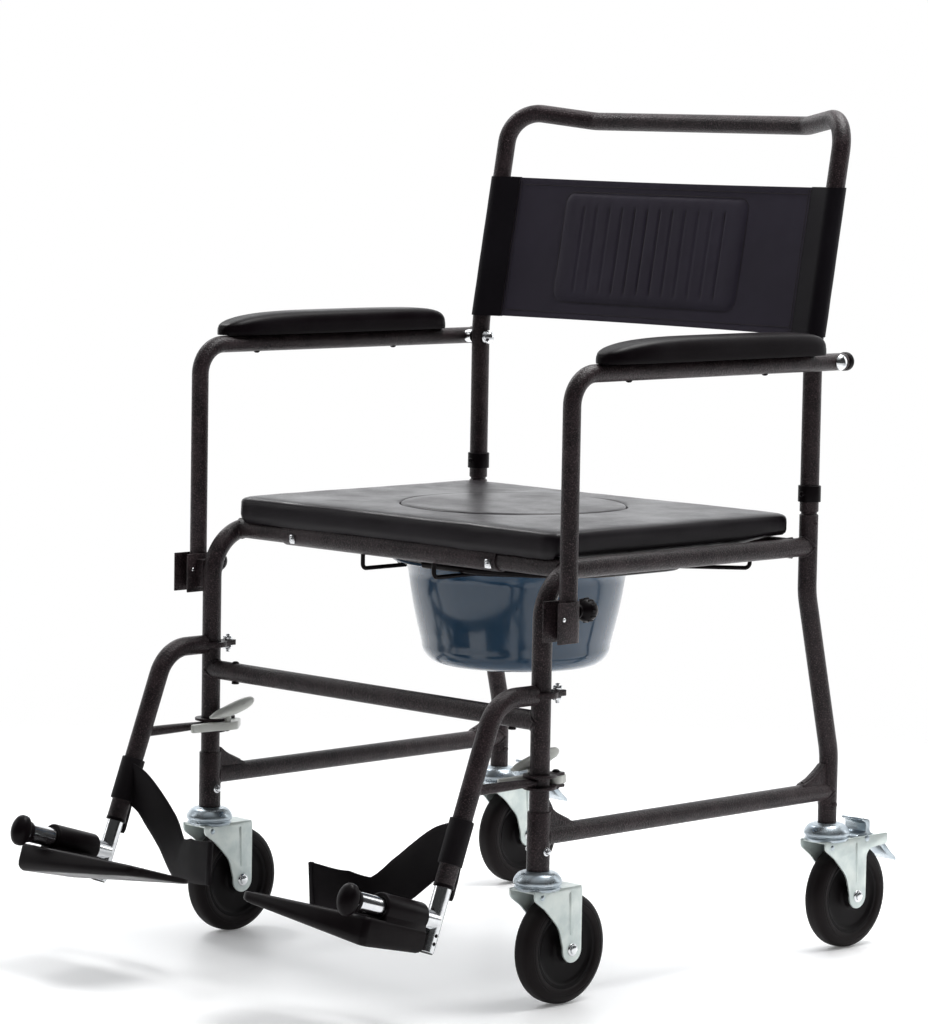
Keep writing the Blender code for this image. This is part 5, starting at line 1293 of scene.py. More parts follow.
def seat_rings(steps=16):
    """Rings up the wall of the opening, over the top, down the outer edge and in under the pad."""
    angles = seat_angles()
    lid_offset = LID_Y - SEAT_MIDDLE_Y

    def outline(inset, height, draw_in):
        return [(*rounded_square(a, SEAT_HALF_WIDTH - inset, SEAT_DEPTH / 2 - inset, SEAT_CORNER_R, draw_in), height)
                for a in angles]

    rings = [[((LID_R + grow) * math.cos(a), lid_offset + (LID_R + grow) * math.sin(a), height) for a in angles]
             for grow, height in SEAT_HOLE]
    hole, rim = rings[-1], outline(SEAT_FLAT_INSET, SEAT_THICK, 0.0)
    for i in range(1, steps):
        t = i / steps
        rings.append([(p[0] + (q[0] - p[0]) * t, p[1] + (q[1] - p[1]) * t, SEAT_THICK) for p, q in zip(hole, rim)])
    return rings + [outline(inset, height, SEAT_SIDE_DRAWN_IN) for inset, height in SEAT_EDGE]


def covered(x, y, height):
    """A point of the pad as its cover lies: uneven, puckered at the corners, its hem drooping over the rails."""
    half_y = SEAT_DEPTH / 2
    share = height / SEAT_THICK
    near_x, near_y = abs(x) / SEAT_HALF_WIDTH, abs(y) / half_y
    uneven = 0.0006 * waver(x * 9, y * 9, 4.2) + 0.00025 * waver(x * 38, y * 38, height * 60)
    low = SEAT_LOW_Z + height + (share * uneven - share * 0.0006)
    side = 1
    if max(near_x, near_y) > 0.9 and 0.02 < share < 0.9:
        corner_near = max(0.0, near_x - 0.8) * max(0.0, near_y - 0.75) * 20
        pucker = corner_near * 0.0010 * math.sin(math.atan2(y, x) * 150) * (1 - share)
        side += (0.0007 * waver(x * 20, y * 20, height * 90) - pucker) / 0.25
    sides = part_of(abs(x) - HEM_SIDE_X, HEM_SIDE_FADE) * part_of(half_y - HEM_REAR_GAP - y, HEM_REAR_FADE)
    front = part_of(HEM_FRONT_DEPTH - (y + half_y), HEM_FRONT_FADE)
    hem = max(0.0, 1 - share / 0.40) * max(sides, front)
    droop = HEM_DROOP * hem * (1 + 0.10 * waver(x * 45, y * 45, 6))
    at_x, at_y = x * side, SEAT_MIDDLE_Y + y * side - HEM_FORWARD * front * (1 - 0.6 * share)
    return at_x, at_y, max(low - droop, min(low, rail_top(at_x, at_y) + HEM_CLEAR))


def lid_mesh():
    lid_r = LID_R - 0.0008
    top = SEAT_THICK + 0.0008
    profile = [(0.0, top)] + [(lid_r * i / 14 * 0.96, top - 0.0001 * (i / 14) ** 2) for i in range(1, 14)]
    profile += [(lid_r - 0.0042, top - 0.0003), (lid_r - 0.0020, top - 0.0010), (lid_r - 0.0006, top - 0.0024),
                (lid_r, top - 0.0048), (lid_r, 0.0018), (lid_r - 0.0015, 0.0), (0.0, 0.0)]
    mesh = turned(profile, Matrix.Translation((0, LID_Y, SEAT_LOW_Z)), 128)
    for vert in mesh.vertices:
        if vert.co.z > SEAT_LOW_Z + SEAT_THICK * 0.6:
            vert.co.z += 0.0005 * waver(vert.co.x * 10, vert.co.y * 10, 8.1) - 0.0004
    return mesh


def build_seat():
    """A covered pad round its opening, with a flush lid in the same vinyl."""
    pad_mesh = loft([[covered(*point) for point in ring] for ring in seat_rings()], looped=True)
    pad = piece("seat_cushion", "seat", "seat_vinyl", [pad_mesh], ["seat_pad"], angle=70)
    lid = piece("seat_lid_cushion", "lid", "seat_vinyl", [lid_mesh()], ["seat_lid"], angle=70)


def pan_profile():
    """The pan's section: up its inner side, over the flange, down the outer side and under the floor."""
    rim, flange, floor, wall = PAN_RIM_R, PAN_FLANGE_R, PAN_FLOOR_R, PAN_WALL
    under, low = PAN_FLANGE_Z, PAN_FLOOR_Z
    top = under + PAN_FLANGE
    outer = [(flange - 0.0008, top), (flange, top - 0.0008), (flange, under + 0.0006), (flange - 0.0008, under),
             (rim + 0.0015, under), (rim - 0.0003, under - 0.0022), (rim - 0.0032, under - 0.0120),
             (rim - 0.0038, under - 0.0130)]
    for i in range(1, 12):
        t = i / 12
        radius = rim - 0.0038 + (floor + 0.0065 - rim + 0.0038) * t
        outer.append((radius + 0.0016 * math.sin(math.pi * t), under - 0.013 + (low + 0.024 - under + 0.013) * t))
    for degrees in range(0, 91, 9):
        a = math.radians(degrees)
        outer.append((floor - 0.0175 + 0.0240 * math.cos(a), low + 0.024 - 0.024 * math.sin(a)))
    outer += [(floor - 0.030, low), (floor - 0.0315, low + 0.0008), (floor - 0.045, low + 0.0008),
              (0, low + 0.0008)]
    inner = [(0, low + wall), (floor - 0.022, low + wall), (floor - 0.008, low + wall + 0.003),
             (floor - 0.0012, low + 0.011), (floor + 0.0030, low + 0.024), (rim - wall - 0.003, under - 0.012),
             (rim - wall + 0.0005, top - 0.002), (rim - wall + 0.0025, top)]
    return eased(inner, 0.004) + outer


def pan_runner(s):
    """A wire from a hook at the front rail round one side of the pan to the rear rail."""
    rail_low = SEAT_RAIL_Z - TUBE_R + 0.0005
    sleeve_low = SEAT_RAIL_Z - SLEEVE_R + 0.0005
    hook_y = PAN_Y - math.sqrt(RUNNER_HALF ** 2 - RUNNER_HOOK_HALF ** 2)
    bend_angle = math.degrees(math.asin(RUNNER_HOOK_HALF / RUNNER_HALF))
    corners = [(RUNNER_HOOK_HALF, FRONT_RAIL_Y, sleeve_low), (RUNNER_HOOK_HALF, FRONT_RAIL_Y, RUNNER_Z),
               (RUNNER_HOOK_HALF, hook_y, RUNNER_Z)]
    path = rounded_path(corners, 0.0055, math.radians(10))[:-1]
    path += [Vector((x, y, RUNNER_Z)) for x, y in arc((0, PAN_Y), RUNNER_HALF, -90 + bend_angle, 0, 24)]
    tail = [path[-1], Vector((RUNNER_HALF, REAR_RAIL_Y - 0.060, RUNNER_Z)),
            Vector((RUNNER_REAR_HALF, REAR_RAIL_Y, RUNNER_Z)), Vector((RUNNER_REAR_HALF, REAR_RAIL_Y, rail_low))]
    path += rounded_path(tail, 0.006, math.radians(10))[1:]
    return swept([(s * p.x, p.y, p.z) for p in path], RUNNER_R, 16)


def build_pan():
    pan = [turned(pan_profile(), Matrix.Translation((0, PAN_Y, 0)), 120)]
    lug_outside = PAN_FLANGE_R + 0.001
    bail_z = RUNNER_TOP_Z + GAP + BAIL_R
    half = lug_outside + GAP + BAIL_R
    for way in (-1, 1):
        lug = [(-0.009, PAN_FLANGE_Z + 0.0006), (0.009, PAN_FLANGE_Z + 0.0006), (0.009, PAN_FLANGE_Z + 0.0050),
               (0.0055, PAN_FLANGE_Z + 0.0085), (-0.0055, PAN_FLANGE_Z + 0.0085), (-0.009, PAN_FLANGE_Z + 0.0050)]
        place = axes_at((0, PAN_Y + way * (lug_outside - 0.0025), 0), X_AXIS, Z_AXIS, -Y_AXIS)
        pan.append(plate(eased(lug, 0.0015, closed=True), 0.005, place))
    piece("pan", "pan", "pan_plastic", pan, ["commode_pan"], angle=45)

    front = [(x, PAN_Y - half * share, bail_z) for x, share in BAIL_BENDS]
    rear = [(x, PAN_Y + half * share, bail_z) for x, share in BAIL_BENDS[::-1]]
    path = rounded_path(front + rear, BAIL_BEND_R)
    bail = [swept(path, BAIL_R, 24)]
    for way in (-1, 1):
        outside = (0, PAN_Y + way * half, bail_z)
        inside = (0, PAN_Y + way * (lug_outside - 0.005), bail_z)
        bail.append(rod(outside, inside, PAN_PIN_R, 0.0004, 20))
    grip = [p for p in path if p[0] > BAIL_REACH - 0.0005]
    bail.append(swept([grip[0].lerp(grip[-1], t) for t in (0.02, 0.06, 0.94, 0.98)],
                      [BAIL_R, BAIL_R + 0.0002, BAIL_R + 0.0002, BAIL_R], 24))
    piece("pan_bail", "pan_bail", "black_plastic", bail, ["pan_handle"])
    for label, s in SIDES:
        piece(label + "_pan_runner", "frame", "black_plastic", [pan_runner(s)], ["pan_runner_" + label])


# Footrests

def hanger_axis(z):
    """The Y of the hanger's leaning axis at a height."""
    return FRONT_Y - HANGER_CORNER - (HANGER_Z - z) * math.tan(HANGER_LEAN)


def strap_clamp(x, z, thickness):
    """A flat strap round the front leg, its two ears drawn together behind it with a slit between them."""
    half, corner = 0.008, 0.003
    bore = TUBE_R + GAP
    end_y = FRONT_Y + STRAP_TAIL
    start = math.degrees(math.asin(half / STRAP_R))
    open_angle = math.degrees(math.asin(STRAP_SLIT / 2 / bore))
    outline = [(x - half + corner, end_y), (x - half, end_y - corner)]
    outline += arc((x, FRONT_Y), STRAP_R, 90 + start, 450 - start, 40)
    outline += [(x + half, end_y - corner), (x + half - corner, end_y), (x + STRAP_SLIT / 2, end_y)]
    outline += arc((x, FRONT_Y), bore, 90 - open_angle, 90 - 360 + open_angle, 48)
    outline += [(x - STRAP_SLIT / 2, end_y)]
    return plate(outline, thickness, level_plane(z), edge=0.0004)


def build_hanger(label, s):
    x = s * HALF_TRACK
    body = "hanger_" + label
    lean = Vector((0, -math.sin(HANGER_LEAN), -math.cos(HANGER_LEAN)))
    back_side = Vector((0, math.cos(HANGER_LEAN), -math.sin(HANGER_LEAN)))
    end = Vector((x, hanger_axis(HANGER_END_Z), HANGER_END_Z))
    bend = rounded_path([(x, FRONT_Y - TUBE_R - 0.0012, HANGER_Z), (x, FRONT_Y - HANGER_CORNER, HANGER_Z), end],
                        HANGER_BEND_R)
    radii = [TUBE_R] * len(bend)
    hanger = [swept(bend[:-1] + [end - lean * 0.0012, end], radii[:-1] + [TUBE_R, TUBE_R - 0.0008])]
    hanger.append(strap_clamp(x, HANGER_Z, STRAP_THICK))
    arm_start = Vector((x, hanger_axis(LOWER_ARM_Z), LOWER_ARM_Z))
    arm_end = Vector((x, FRONT_Y - 0.012, LOWER_ARM_Z))
    arm = [arm_start.lerp(arm_end, t / 8) for t in range(9)]
    widths = [(LOWER_ARM_R + LOWER_ARM_SPREAD * (t / 8) ** 2, LOWER_ARM_R - LOWER_ARM_FLATTEN * (t / 8) ** 2)
              for t in range(9)]
    hanger.append(swept(arm, widths, 24, across=X_AXIS))
    hanger.append(weld(arm_start, Y_AXIS, lean, TUBE_R, 0.0060, 0.0016))
    for offset in (-LEAF_OFFSET, LEAF_OFFSET):
        hanger.append(strap_clamp(x, LOWER_ARM_Z + offset, LEAF_THICK))
    piece(label + "_hanger", body, "hammered_enamel", hanger, ["footrest_hanger_" + label])

    tab = axes_at(end + back_side * (TUBE_R - 0.0006) - lean * 0.018, lean, back_side, lean.cross(back_side))
    spring = [(-0.012, 0.0), (0.016, 0.0), (0.028, 0.0012), (0.031, 0.0036), (0.026, 0.0052), (0.006, 0.0046),
              (-0.010, 0.0032)]
    clip = [plate(eased(spring, 0.0018, closed=True), 0.0084, tab, edge=0.0010),
            hollow_ring(TUBE_R + 0.0004, EXTENSION_R + 0.0003, 0.0030, -0.0010, along(lean, end - lean * 0.0018),
                        0.0008)]
    piece(label + "_length_clip", body, "black_plastic", clip)
    pin = Vector((x, hanger_axis(HANGER_RIVET_Z), HANGER_RIVET_Z)) + back_side * (TUBE_R - 0.0006)
    piece(label + "_hanger_rivet", body, "chrome", [dome_head(pin, back_side, 0.0036, 0.0022)])

    bolt_y = FRONT_Y + STRAP_BOLT_BACK
    high = HANGER_Z + STRAP_THICK / 2
    low = HANGER_Z - STRAP_THICK / 2
    threads = [(CLAMP_BOLT_R - (i % 2) * CLAMP_THREAD_DEPTH, 0.0070 - i * CLAMP_THREAD_PITCH)
               for i in range(CLAMP_THREADS)]
    threads = [(0, 0.0075)] + threads + [(0, 0)]
    bolt = [hex_nut((x, bolt_y, high + 0.0002), Z_AXIS, CLAMP_NUT_R, 0.0042),
            hollow_ring(0.0052, 0.0026, 0.0008, 0.0, Matrix.Translation((x, bolt_y, high)), 0.0002, 28),
            turned(threads, Matrix.Translation((x, bolt_y, high)), 24),
            hex_nut((x, bolt_y, low - 0.0002), -Z_AXIS, CLAMP_NUT_R, 0.0048),
            turned(threads, along(-Z_AXIS, (x, bolt_y, low - 0.0012)), 24)]
    piece(label + "_hanger_bolt", body, "chrome", bolt, ["footrest_bolt_" + label])
    build_latch(label, s)
    build_extension(label, s, end, lean)
    build_heel_strap(label, s, end, lean)


def build_latch(label, s):
    """A pale lever between the two leaves, with a raised thumb paddle behind the leg."""
    x, z = s * HALF_TRACK, LOWER_ARM_Z
    hub_y = FRONT_Y + STRAP_BOLT_BACK
    inside = -s
    half = LEAF_OFFSET - LEAF_THICK / 2 - GAP
    clear = TUBE_R + 3 * GAP
    back = STRAP_BOLT_BACK
    outline = [(0.006, clear + 0.004), (clear + 0.002, 0.006), (clear + 0.002, -0.044), (clear + 0.009, -0.046),
               (clear + 0.012, -0.010), (clear + 0.017, 0.004), (clear + 0.017, 0.018), (0.016, back + 0.006),
               (0.010, back + 0.014), (-0.004, back + 0.014), (-0.006, back - 0.004)]
    rounded = eased([(x + across * inside, FRONT_Y + deep) for across, deep in outline], 0.004, closed=True)
    lever = [plate(rounded, 2 * half, level_plane(z), edge=0.0009)]
    line = smooth_line([row[:3] for row in LATCH_PADDLE], 28)
    sizes = smooth_line([(row[3], row[4], 0) for row in LATCH_PADDLE], 28)
    rings = []
    for middle, size in zip(line, sizes):
        at = Vector((x + middle.x * inside, FRONT_Y + middle.y, z + middle.z))
        rings.append([at + Vector((size.x * c, 0, size.y * k)) for c, k in circle(28)])
    lever.append(loft(rings))
    foot = Vector((x + PADDLE_FOOT[0] * inside, FRONT_Y + PADDLE_FOOT[1], z))
    lever.append(rod(foot, foot + Vector((0, 0, PADDLE_FOOT[2])), PADDLE_FOOT_R, 0.0004, 24))
    lever.append(rod((x, hub_y, z - half), (x, hub_y, z + half), LATCH_HUB_R, 0.0008, 32))
    piece(label + "_latch", "latch_" + label, "latch_plastic", lever, ["footrest_latch_" + label])
    high = LEAF_OFFSET + LEAF_THICK / 2
    pin = [dome_head((x, hub_y, z + way * high), Z_AXIS * way, 0.0045, 0.0032) for way in (1, -1)]
    piece(label + "_latch_pin", "hanger_" + label, "black_plastic", pin, ["latch_pin_" + label])


def plate_outline():
    """The footplate from above: across, and forward of the extension."""
    corner, heel_corner = PLATE_CORNER_R, PLATE_HEEL_CORNER_R
    outline = [(-PLATE_OUT, PLATE_START)]
    outline += arc((-PLATE_OUT + heel_corner, PLATE_FAR - heel_corner), heel_corner, 180, 90, 6)
    outline += arc((PLATE_IN - corner, PLATE_FAR - corner), corner, 90, 0, 10)
    return outline + arc((PLATE_IN - corner, PLATE_START + corner), corner, 0, -90, 10)


def footplate_meshes(place, sleeve_place):
    """A wedge thinner at its toe and tip, with raised lines, hung by a web from the sleeve round its spigot."""
    outline = plate_outline()
    middle = (PLATE_START + PLATE_FAR) / 2
    centre = (PLATE_IN - PLATE_OUT) / 2
    rows = []
    for level, inset in PLATE_EDGE:
        ring = []
        for across, depth in outline:
            share = (across + PLATE_OUT) / (PLATE_IN + PLATE_OUT)
            low_edge = PLATE_EDGE_LOW + (PLATE_TIP_LOW - PLATE_EDGE_LOW) * share
            low_edge -= PLATE_TOE_DROP * (depth - PLATE_START) / PLATE_DEPTH
            a = across + math.copysign(min(inset, abs(across - centre)), centre - across)
            d = depth + math.copysign(min(inset, abs(depth - middle)), middle - depth)
            ring.append(place @ Vector((a, d, low_edge + (PLATE_TOP - low_edge) * level)))
        rows.append(ring)
    made = [loft(rows)]
    for i in range(PLATE_LINES):
        depth = PLATE_START + PLATE_LINE_FIRST + i * PLATE_LINE_PITCH
        far_end = (PLATE_IN - PLATE_CORNER_R, depth + PLATE_LINE_WIDTH, PLATE_TOP + 0.0008)
        made.append(block((0.030, depth, PLATE_TOP - 0.0006), far_end, 0.0006, place))
    made.append(hollow_ring(PLATE_SLEEVE_R, SPIGOT_R + GAP, 0, PLATE_SLEEVE_LENGTH, sleeve_place, 0.0014, 44))
    web = [(-PLATE_OUT + 0.001, PLATE_TOP - 0.002), (PLATE_OUT - 0.002, PLATE_TOP - 0.002),
           (PLATE_OUT - 0.004, -0.004), (PLATE_SLEEVE_R * 0.8, 0.0), (-PLATE_SLEEVE_R * 0.8, 0.0)]
    web_place = place @ axes_at((0, PLATE_START + PLATE_SLEEVE_LENGTH / 2, 0), X_AXIS, Z_AXIS, -Y_AXIS)
    made.append(plate(eased(web, 0.001, closed=True), PLATE_SLEEVE_LENGTH - 0.001, web_place))
    return made


def build_extension(label, s, end, lean):
    body = "extension_" + label
    forward = Vector((0, -math.cos(SPIGOT_TILT), math.sin(SPIGOT_TILT)))
    up = Vector((0, math.sin(SPIGOT_TILT), math.cos(SPIGOT_TILT)))
    inboard = Vector((-s, 0, 0))
    root = Vector((s * HALF_TRACK, hanger_axis(SPIGOT_Z), SPIGOT_Z))
    low = Vector((s * HALF_TRACK, hanger_axis(EXTENSION_END_Z), EXTENSION_END_Z))
    tip = root + forward * SPIGOT_LENGTH
    stem = [swept([end - lean * EXTENSION_INSIDE, low - lean * 0.0006, low],
                  [EXTENSION_R, EXTENSION_R, EXTENSION_R - 0.0006]),
            rod(root, tip, SPIGOT_R, 0.0008, TUBE_SIDES), weld(root, forward, lean, EXTENSION_R, 0.0092, 0.0014)]
    piece(label + "_extension", body, "chrome", stem, ["footrest_extension_" + label])
    holes = []
    for back in (0.010, 0.019):
        for way in (-1, 1):
            spot = low - lean * back + inboard * (-s * way) * (EXTENSION_R - 0.0012)
            holes.append(rod(spot, spot + inboard * (-s * way) * 0.0013, 0.0022, 0.0002, 20))
    plug = [(0, 0.0004), (EXTENSION_R - 0.0012, 0.0004), (EXTENSION_R - 0.0018, 0.0012), (0, 0.0012)]
    holes.append(turned(plug, along(lean, low), 28))
    piece(label + "_extension_holes", body, "black_plastic", holes)

    tread = footplate_meshes(axes_at(root, inboard, forward, up), along(forward, root + forward * PLATE_START))
    piece(label + "_footplate", "plate_" + label, "black_plastic", tread, ["footplate_" + label])

    cap = [(0, CAP_LENGTH)]
    for degrees in range(10, 86, 8):
        a = math.radians(degrees)
        cap.append((CAP_HALF_HEIGHT * math.sin(a), CAP_LENGTH * (0.42 + 0.58 * math.cos(a))))
    cap += [(CAP_HALF_HEIGHT, CAP_LENGTH * 0.40), (CAP_HALF_HEIGHT, 0.0035), (CAP_HALF_HEIGHT - 0.0006, 0.0012),
            (CAP_HALF_HEIGHT - 0.002, 0), (0, 0)]
    narrow = Matrix.Diagonal((CAP_HALF_WIDTH / CAP_HALF_HEIGHT, 1, 1, 1))
    made = [turned(cap, along(forward, tip + forward * GAP) @ narrow, 44),
            hollow_ring(SPIGOT_R + 0.0012, SPIGOT_R, 0.005, 0, along(-forward, tip + forward * 0.0002), 0.0006)]
    piece(label + "_footrest_cap", body, "black_plastic", made, ["footrest_end_cap_" + label])


def strap_band(s, line, turns):
    """The band along its line: each ring leans by its turn, is thin at its edges, and curls and waves a little."""
    half, t = HEEL_STRAP_WIDTH / 2, HEEL_STRAP_THICK / 2
    edges = [(-1, -1 + k / 8) for k in range(17)] + [(1, 1 - k / 8) for k in range(17)]
    rings = []
    for i, (p, turn) in enumerate(zip(line, turns)):
        before, after = line[max(0, i - 1)], line[min(len(line) - 1, i + 1)]
        run = Vector((after.x - before.x, after.y - before.y)).normalized()
        side = Vector((-run.y, run.x))
        over, up = math.sin(math.radians(turn.x)), math.cos(math.radians(turn.x))
        ring = []
        for way_side, way_up in edges:
            thin = 1 - 0.55 * max(0.0, abs(way_up) - 0.86) / 0.14
            curl = 0.0012 * way_up ** 2 * math.sin(math.pi * min(1.0, i / 50))
            off = way_side * t * thin + curl + 0.0007 * waver(p.x * 30, way_up * 1.5, s * 3 + 1)
            across = p.x + off * side.x + way_up * half * over
            ring.append((s * HALF_TRACK - s * across, FRONT_Y + p.y + off * side.y, p.z + way_up * half * up))
        rings.append(ring)
    return loft(rings)


def build_heel_strap(label, s, end, lean):
    """A web band sewn into a sleeve on the hanger, running down to the inboard heel corner of the footplate."""
    x = s * HALF_TRACK
    sleeve_low = end - lean * HEEL_STRAP_UP
    sleeve_high = sleeve_low - lean * HEEL_STRAP_WIDTH
    half = HEEL_STRAP_WIDTH / 2
    bore = TUBE_R + 0.0006
    wall = HEEL_STRAP_THICK * 0.65
    cuff = hollow_ring(bore + wall, bore, 0.0, HEEL_STRAP_WIDTH, along(sleeve_high - sleeve_low, sleeve_low), 0.0008,
                       44)
    for vert in cuff.vertices:
        vert.co.x += 0.0004 * waver(vert.co.z * 90, vert.co.x * 60, vert.co.y * 60)
    line = smooth_line([row[:3] for row in HEEL_STRAP_RUN], 60)
    turns = smooth_line([(row[3], 0, 0) for row in HEEL_STRAP_RUN], 60)
    for p in line:
        p.z -= STRAP_FOLD_DROP * max(0.0, 1 - abs(p.x - STRAP_FOLD_AT) / STRAP_FOLD_REACH)
    strap = piece(label + "_heel_strap", "hanger_" + label, "strap_web", [cuff, strap_band(s, line, turns)],
                  ["heel_strap_" + label], angle=55)
    last = line[-1]
    place = Matrix.Translation((x - s * (last.x - 0.001), FRONT_Y + last.y, last.z))
    hem = block((-0.0040, -0.0024, -half - 0.0005), (0.0030, 0.0024, half + 0.0008), 0.0016,
                place @ Matrix.Rotation(math.radians(-4) * s, 4, "Y"))
    tab = piece(label + "_heel_strap_hem", "hanger_" + label, "strap_web", [hem])
    for part in (strap, tab):
        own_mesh(part)


# Castors

def fork_meshes(braked):
    """A pressed fork about its swivel axis, with the wheel trailing to +Y."""
    plate_top = CASTOR_TOP_Z - DOME_HEIGHT
    r = FORK_END_R
    y, z = CASTOR_TRAIL, WHEEL_R
    back = PEDAL_PIN_BACK + 0.038 if braked else y + r
    outline = [(-0.024, plate_top), (-0.024, plate_top - 0.010), (-0.0165, plate_top - 0.0155),
               (-0.0075, plate_top - 0.0215), (y - r - 0.0065, z + 0.026), (y - r, z + 0.003)]
    front = eased(outline, 0.008)
    outline = front + arc((y, z), r, 184, 360, 24)
    if braked:
        outline += eased([(y + r, z + 0.002), (y + r, plate_top - 0.0225), (y + r + 0.006, plate_top - 0.0155),
                          (back, plate_top - 0.013), (back, plate_top), (back - 0.006, plate_top)], 0.005)
    else:
        outline += eased([(y + r, z + 0.002), (back, plate_top - 0.002), (back - 0.004, plate_top)], 0.003)
    offset = FORK_HALF_INSIDE + FORK_PLATE / 2
    made = [plate(outline, FORK_PLATE, side_plane(way * offset), edge=0.0007) for way in (-1, 1)]
    wide = FORK_HALF_INSIDE + FORK_PLATE
    roof_low = plate_top - FORK_PLATE
    roof_back = PEDAL_PIN_BACK - 0.024 if braked else back
    made.append(block((0.0008 - wide, -0.0235, roof_low), (wide - 0.0008, roof_back, plate_top - 0.0002), 0.0010))
    for way in (-1, 1):
        rib = [(way * wide * 0.985, y - 0.004, plate_top - 0.006), (way * wide * 0.985, y - 0.002, z + 0.016)]
        ovals = [(0.0006, 0.0012), (0.0012, 0.0024), (0.0012, 0.0024), (0.0011, 0.0020), (0.0005, 0.0010)]
        made.append(swept([Vector(rib[0]).lerp(Vector(rib[1]), t) for t in (0, 0.04, 0.5, 0.96, 1)], ovals, 12,
                          across=X_AXIS))
    return made


def race_mesh():
    """The swivel bearing's pressed dome, with its lip and the ball race below it."""
    top, plate_top, r = CASTOR_TOP_Z, CASTOR_TOP_Z - DOME_HEIGHT, DOME_R
    profile = [(0, top), (0.0140, top), (0.0156, top - 0.0009), (0.0185, top - 0.0010), (0.0222, top - 0.0030),
               (0.0250, top - 0.0064), (r - 0.0003, top - 0.0096), (r, top - 0.0122), (r - 0.0004, top - 0.0142),
               (r - 0.0022, top - 0.0150), (r - 0.0026, top - 0.0163), (r - 0.0012, top - 0.0170),
               (r - 0.0010, plate_top + 0.0008), (r - 0.003, plate_top - 0.0022), (0, plate_top - 0.0022)]
    return turned(eased(profile, 0.0012), None, 72)


def tyre_mesh():
    w, rim = WHEEL_HALF_WIDTH, RIM_R
    side = [(rim - 0.0015, w - 0.0036), (rim, w - 0.0014), (rim + 0.0020, w - 0.0004), (rim + 0.0055, w),
            (rim + 0.0062, w - 0.0007), (rim + 0.0070, w - 0.0001), (WHEEL_R - 0.0056, w - 0.0012),
            (WHEEL_R - 0.0024, w - 0.0034), (WHEEL_R - 0.0008, w - 0.0058), (WHEEL_R - 0.0001, w - 0.0090),
            (WHEEL_R, 0.0)]
    half = eased(side[:-1] + [(WHEEL_R, 0.0025)], 0.0012)
    profile = half + [(r, -h) for r, h in half[::-1]]
    return turned(profile, along(X_AXIS, (0, 0, 0)), 96, closed=True)


def hub_mesh():
    """A plastic wheel centre: deep dish, raised boss and a stepped rim."""
    w, rim = WHEEL_HALF_WIDTH, RIM_R
    half = [(AXLE_R + GAP, w + 0.002), (0.0112, w + 0.002), (0.0130, w + 0.0012), (0.0144, w - 0.0042),
            (0.0180, w - 0.0058), (rim - 0.0090, w - 0.0056), (rim - 0.0062, w - 0.0044), (rim - 0.0048, w - 0.0028),
            (rim + 0.0010, w - 0.0026), (rim + 0.0020, w - 0.0040)]
    half = [half[0]] + eased(half, 0.0010)[1:]
    profile = half + [(r, -h) for r, h in half[::-1]]
    return turned(profile, along(X_AXIS, (0, 0, 0)), 72, closed=True)


def axle_meshes():
    outer = FORK_HALF_INSIDE + FORK_PLATE + 0.0001
    head = [(0, 0.0024), (0.0030, 0.0024), (0.0034, 0.0016), (0.0060, 0.0018), (AXLE_HEAD_R - 0.0004, 0.0010),
            (AXLE_HEAD_R, 0.0), (0, 0.0)]
    made = [turned(eased(head, 0.0006), along(X_AXIS, (outer, 0, 0)), 36),
            turned(eased(head, 0.0006), along(-X_AXIS, (-outer, 0, 0)), 36)]
    made.append(rod((-outer, 0, 0), (outer, 0, 0), AXLE_R, 0.0003, 28))
    for way in (-1, 1):
        made.append(hex_nut((way * (outer + 0.0004), 0, 0), (way, 0, 0), 0.0052, 0.0030))
    return made


def pedal_meshes():
    """A rocking lever about its pin, with a heel tab above the fork and a long toe blade behind it."""
    toe = PEDAL_REACH - PEDAL_PIN_BACK
    half = FORK_HALF_INSIDE - 0.0015
    blade = [(-0.016, 0.0010), (-0.004, -0.0035), (0.016, -0.0055), (0.030, -0.013), (0.044, -0.026),
             (toe, -0.0345), (toe - 0.0015, -0.0300), (0.047, -0.020), (0.034, -0.0065), (0.020, 0.0015)]
    heel_tab = [(0.010, 0.0055), (0.0095, 0.0205), (-0.004, 0.0235), (-0.005, 0.0205), (0.002, 0.0180),
                (0.002, 0.0055), (-0.012, 0.0045)]
    made = [plate(eased(blade + heel_tab, 0.0030, closed=True), 2 * half, side_plane(0), edge=0.0012)]
    for way in (-1, 1):
        made.append(dome_head((way * (FORK_HALF_INSIDE + FORK_PLATE - 0.0001), 0, 0), (way, 0, 0), 0.0042, 0.0018))
    return made


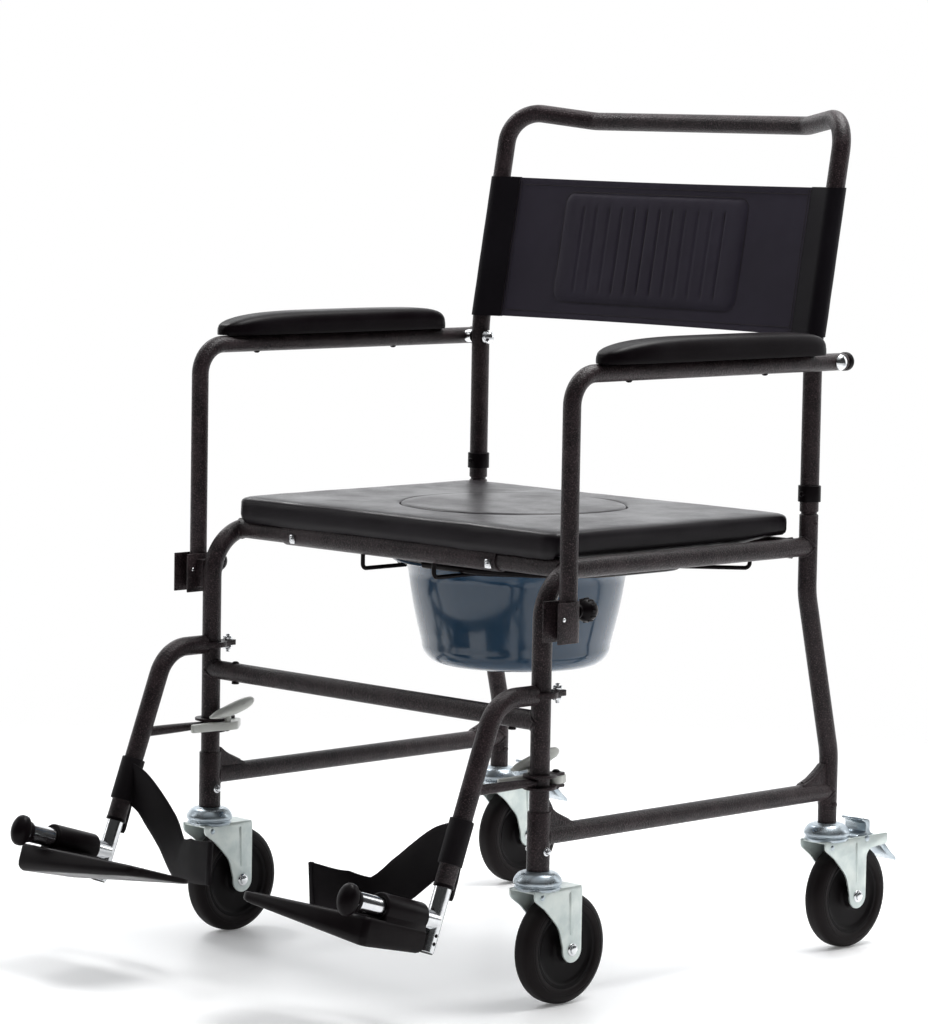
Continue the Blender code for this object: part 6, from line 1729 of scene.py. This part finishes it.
def moved(meshes, offset):
    made = []
    for mesh in meshes:
        copy = mesh.copy()
        copy.transform(Matrix.Translation(offset))
        made.append(copy)
    return made


def build_castors():
    forks = {braked: fork_meshes(braked) for braked in (False, True)}
    race, tyre, hub, axle, pedal = race_mesh(), tyre_mesh(), hub_mesh(), axle_meshes(), pedal_meshes()
    plate_top = CASTOR_TOP_Z - DOME_HEIGHT
    wide = FORK_HALF_INSIDE + FORK_PLATE
    for label, s in SIDES:
        for end, leg_y, braked in (("front", FRONT_Y, False), ("rear", REAR_LOW_Y, True)):
            place = "%s_%s" % (end, label)
            castor, wheel = "castor_" + place, "wheel_" + place
            swivel = Vector((s * HALF_TRACK, leg_y, 0))
            hub_at = swivel + Vector((0, CASTOR_TRAIL, WHEEL_R))
            piece(place + "_fork", castor, "zinc", moved(forks[braked], swivel), ["castor_fork_" + place])
            piece(place + "_swivel_race", castor, "zinc_bright", moved([race], swivel), angle=50)
            rivets = [dome_head((swivel.x + way * (wide - 0.0001), leg_y - 0.0125, plate_top - 0.0075), (way, 0, 0),
                                0.0032, 0.0014) for way in (-1, 1)]
            piece(place + "_fork_rivets", castor, "zinc_bright", rivets)
            piece(place + "_axle", castor, "chrome", moved(axle, hub_at), ["castor_axle_" + place])
            piece(place + "_tyre", wheel, "tyre_rubber", moved([tyre], hub_at), ["castor_wheel_" + place], angle=50)
            piece(place + "_wheel_centre", wheel, "wheel_plastic", moved([hub], hub_at), angle=50)
            if braked:
                pin = swivel + Vector((0, PEDAL_PIN_BACK, PEDAL_PIN_Z))
                piece(label + "_pedal", "pedal_" + label, "zinc_bright", moved(pedal, pin), ["brake_pedal_" + label])


light_world(place_camera())
for lamp_row in LAMPS:
    softbox(*lamp_row)
lay_floor()
make_finishes()
for side_label, side_sign in SIDES:
    build_side_frame(side_label, side_sign)
    build_armrest(side_label, side_sign)
    build_arm_socket(side_label, side_sign)
    build_hanger(side_label, side_sign)
build_cross_rails()
build_backrest()
build_sling()
build_seat()
build_pan()
build_castors()

bpy.context.scene.view_settings.view_transform = "Standard"
bpy.context.view_layer.update()
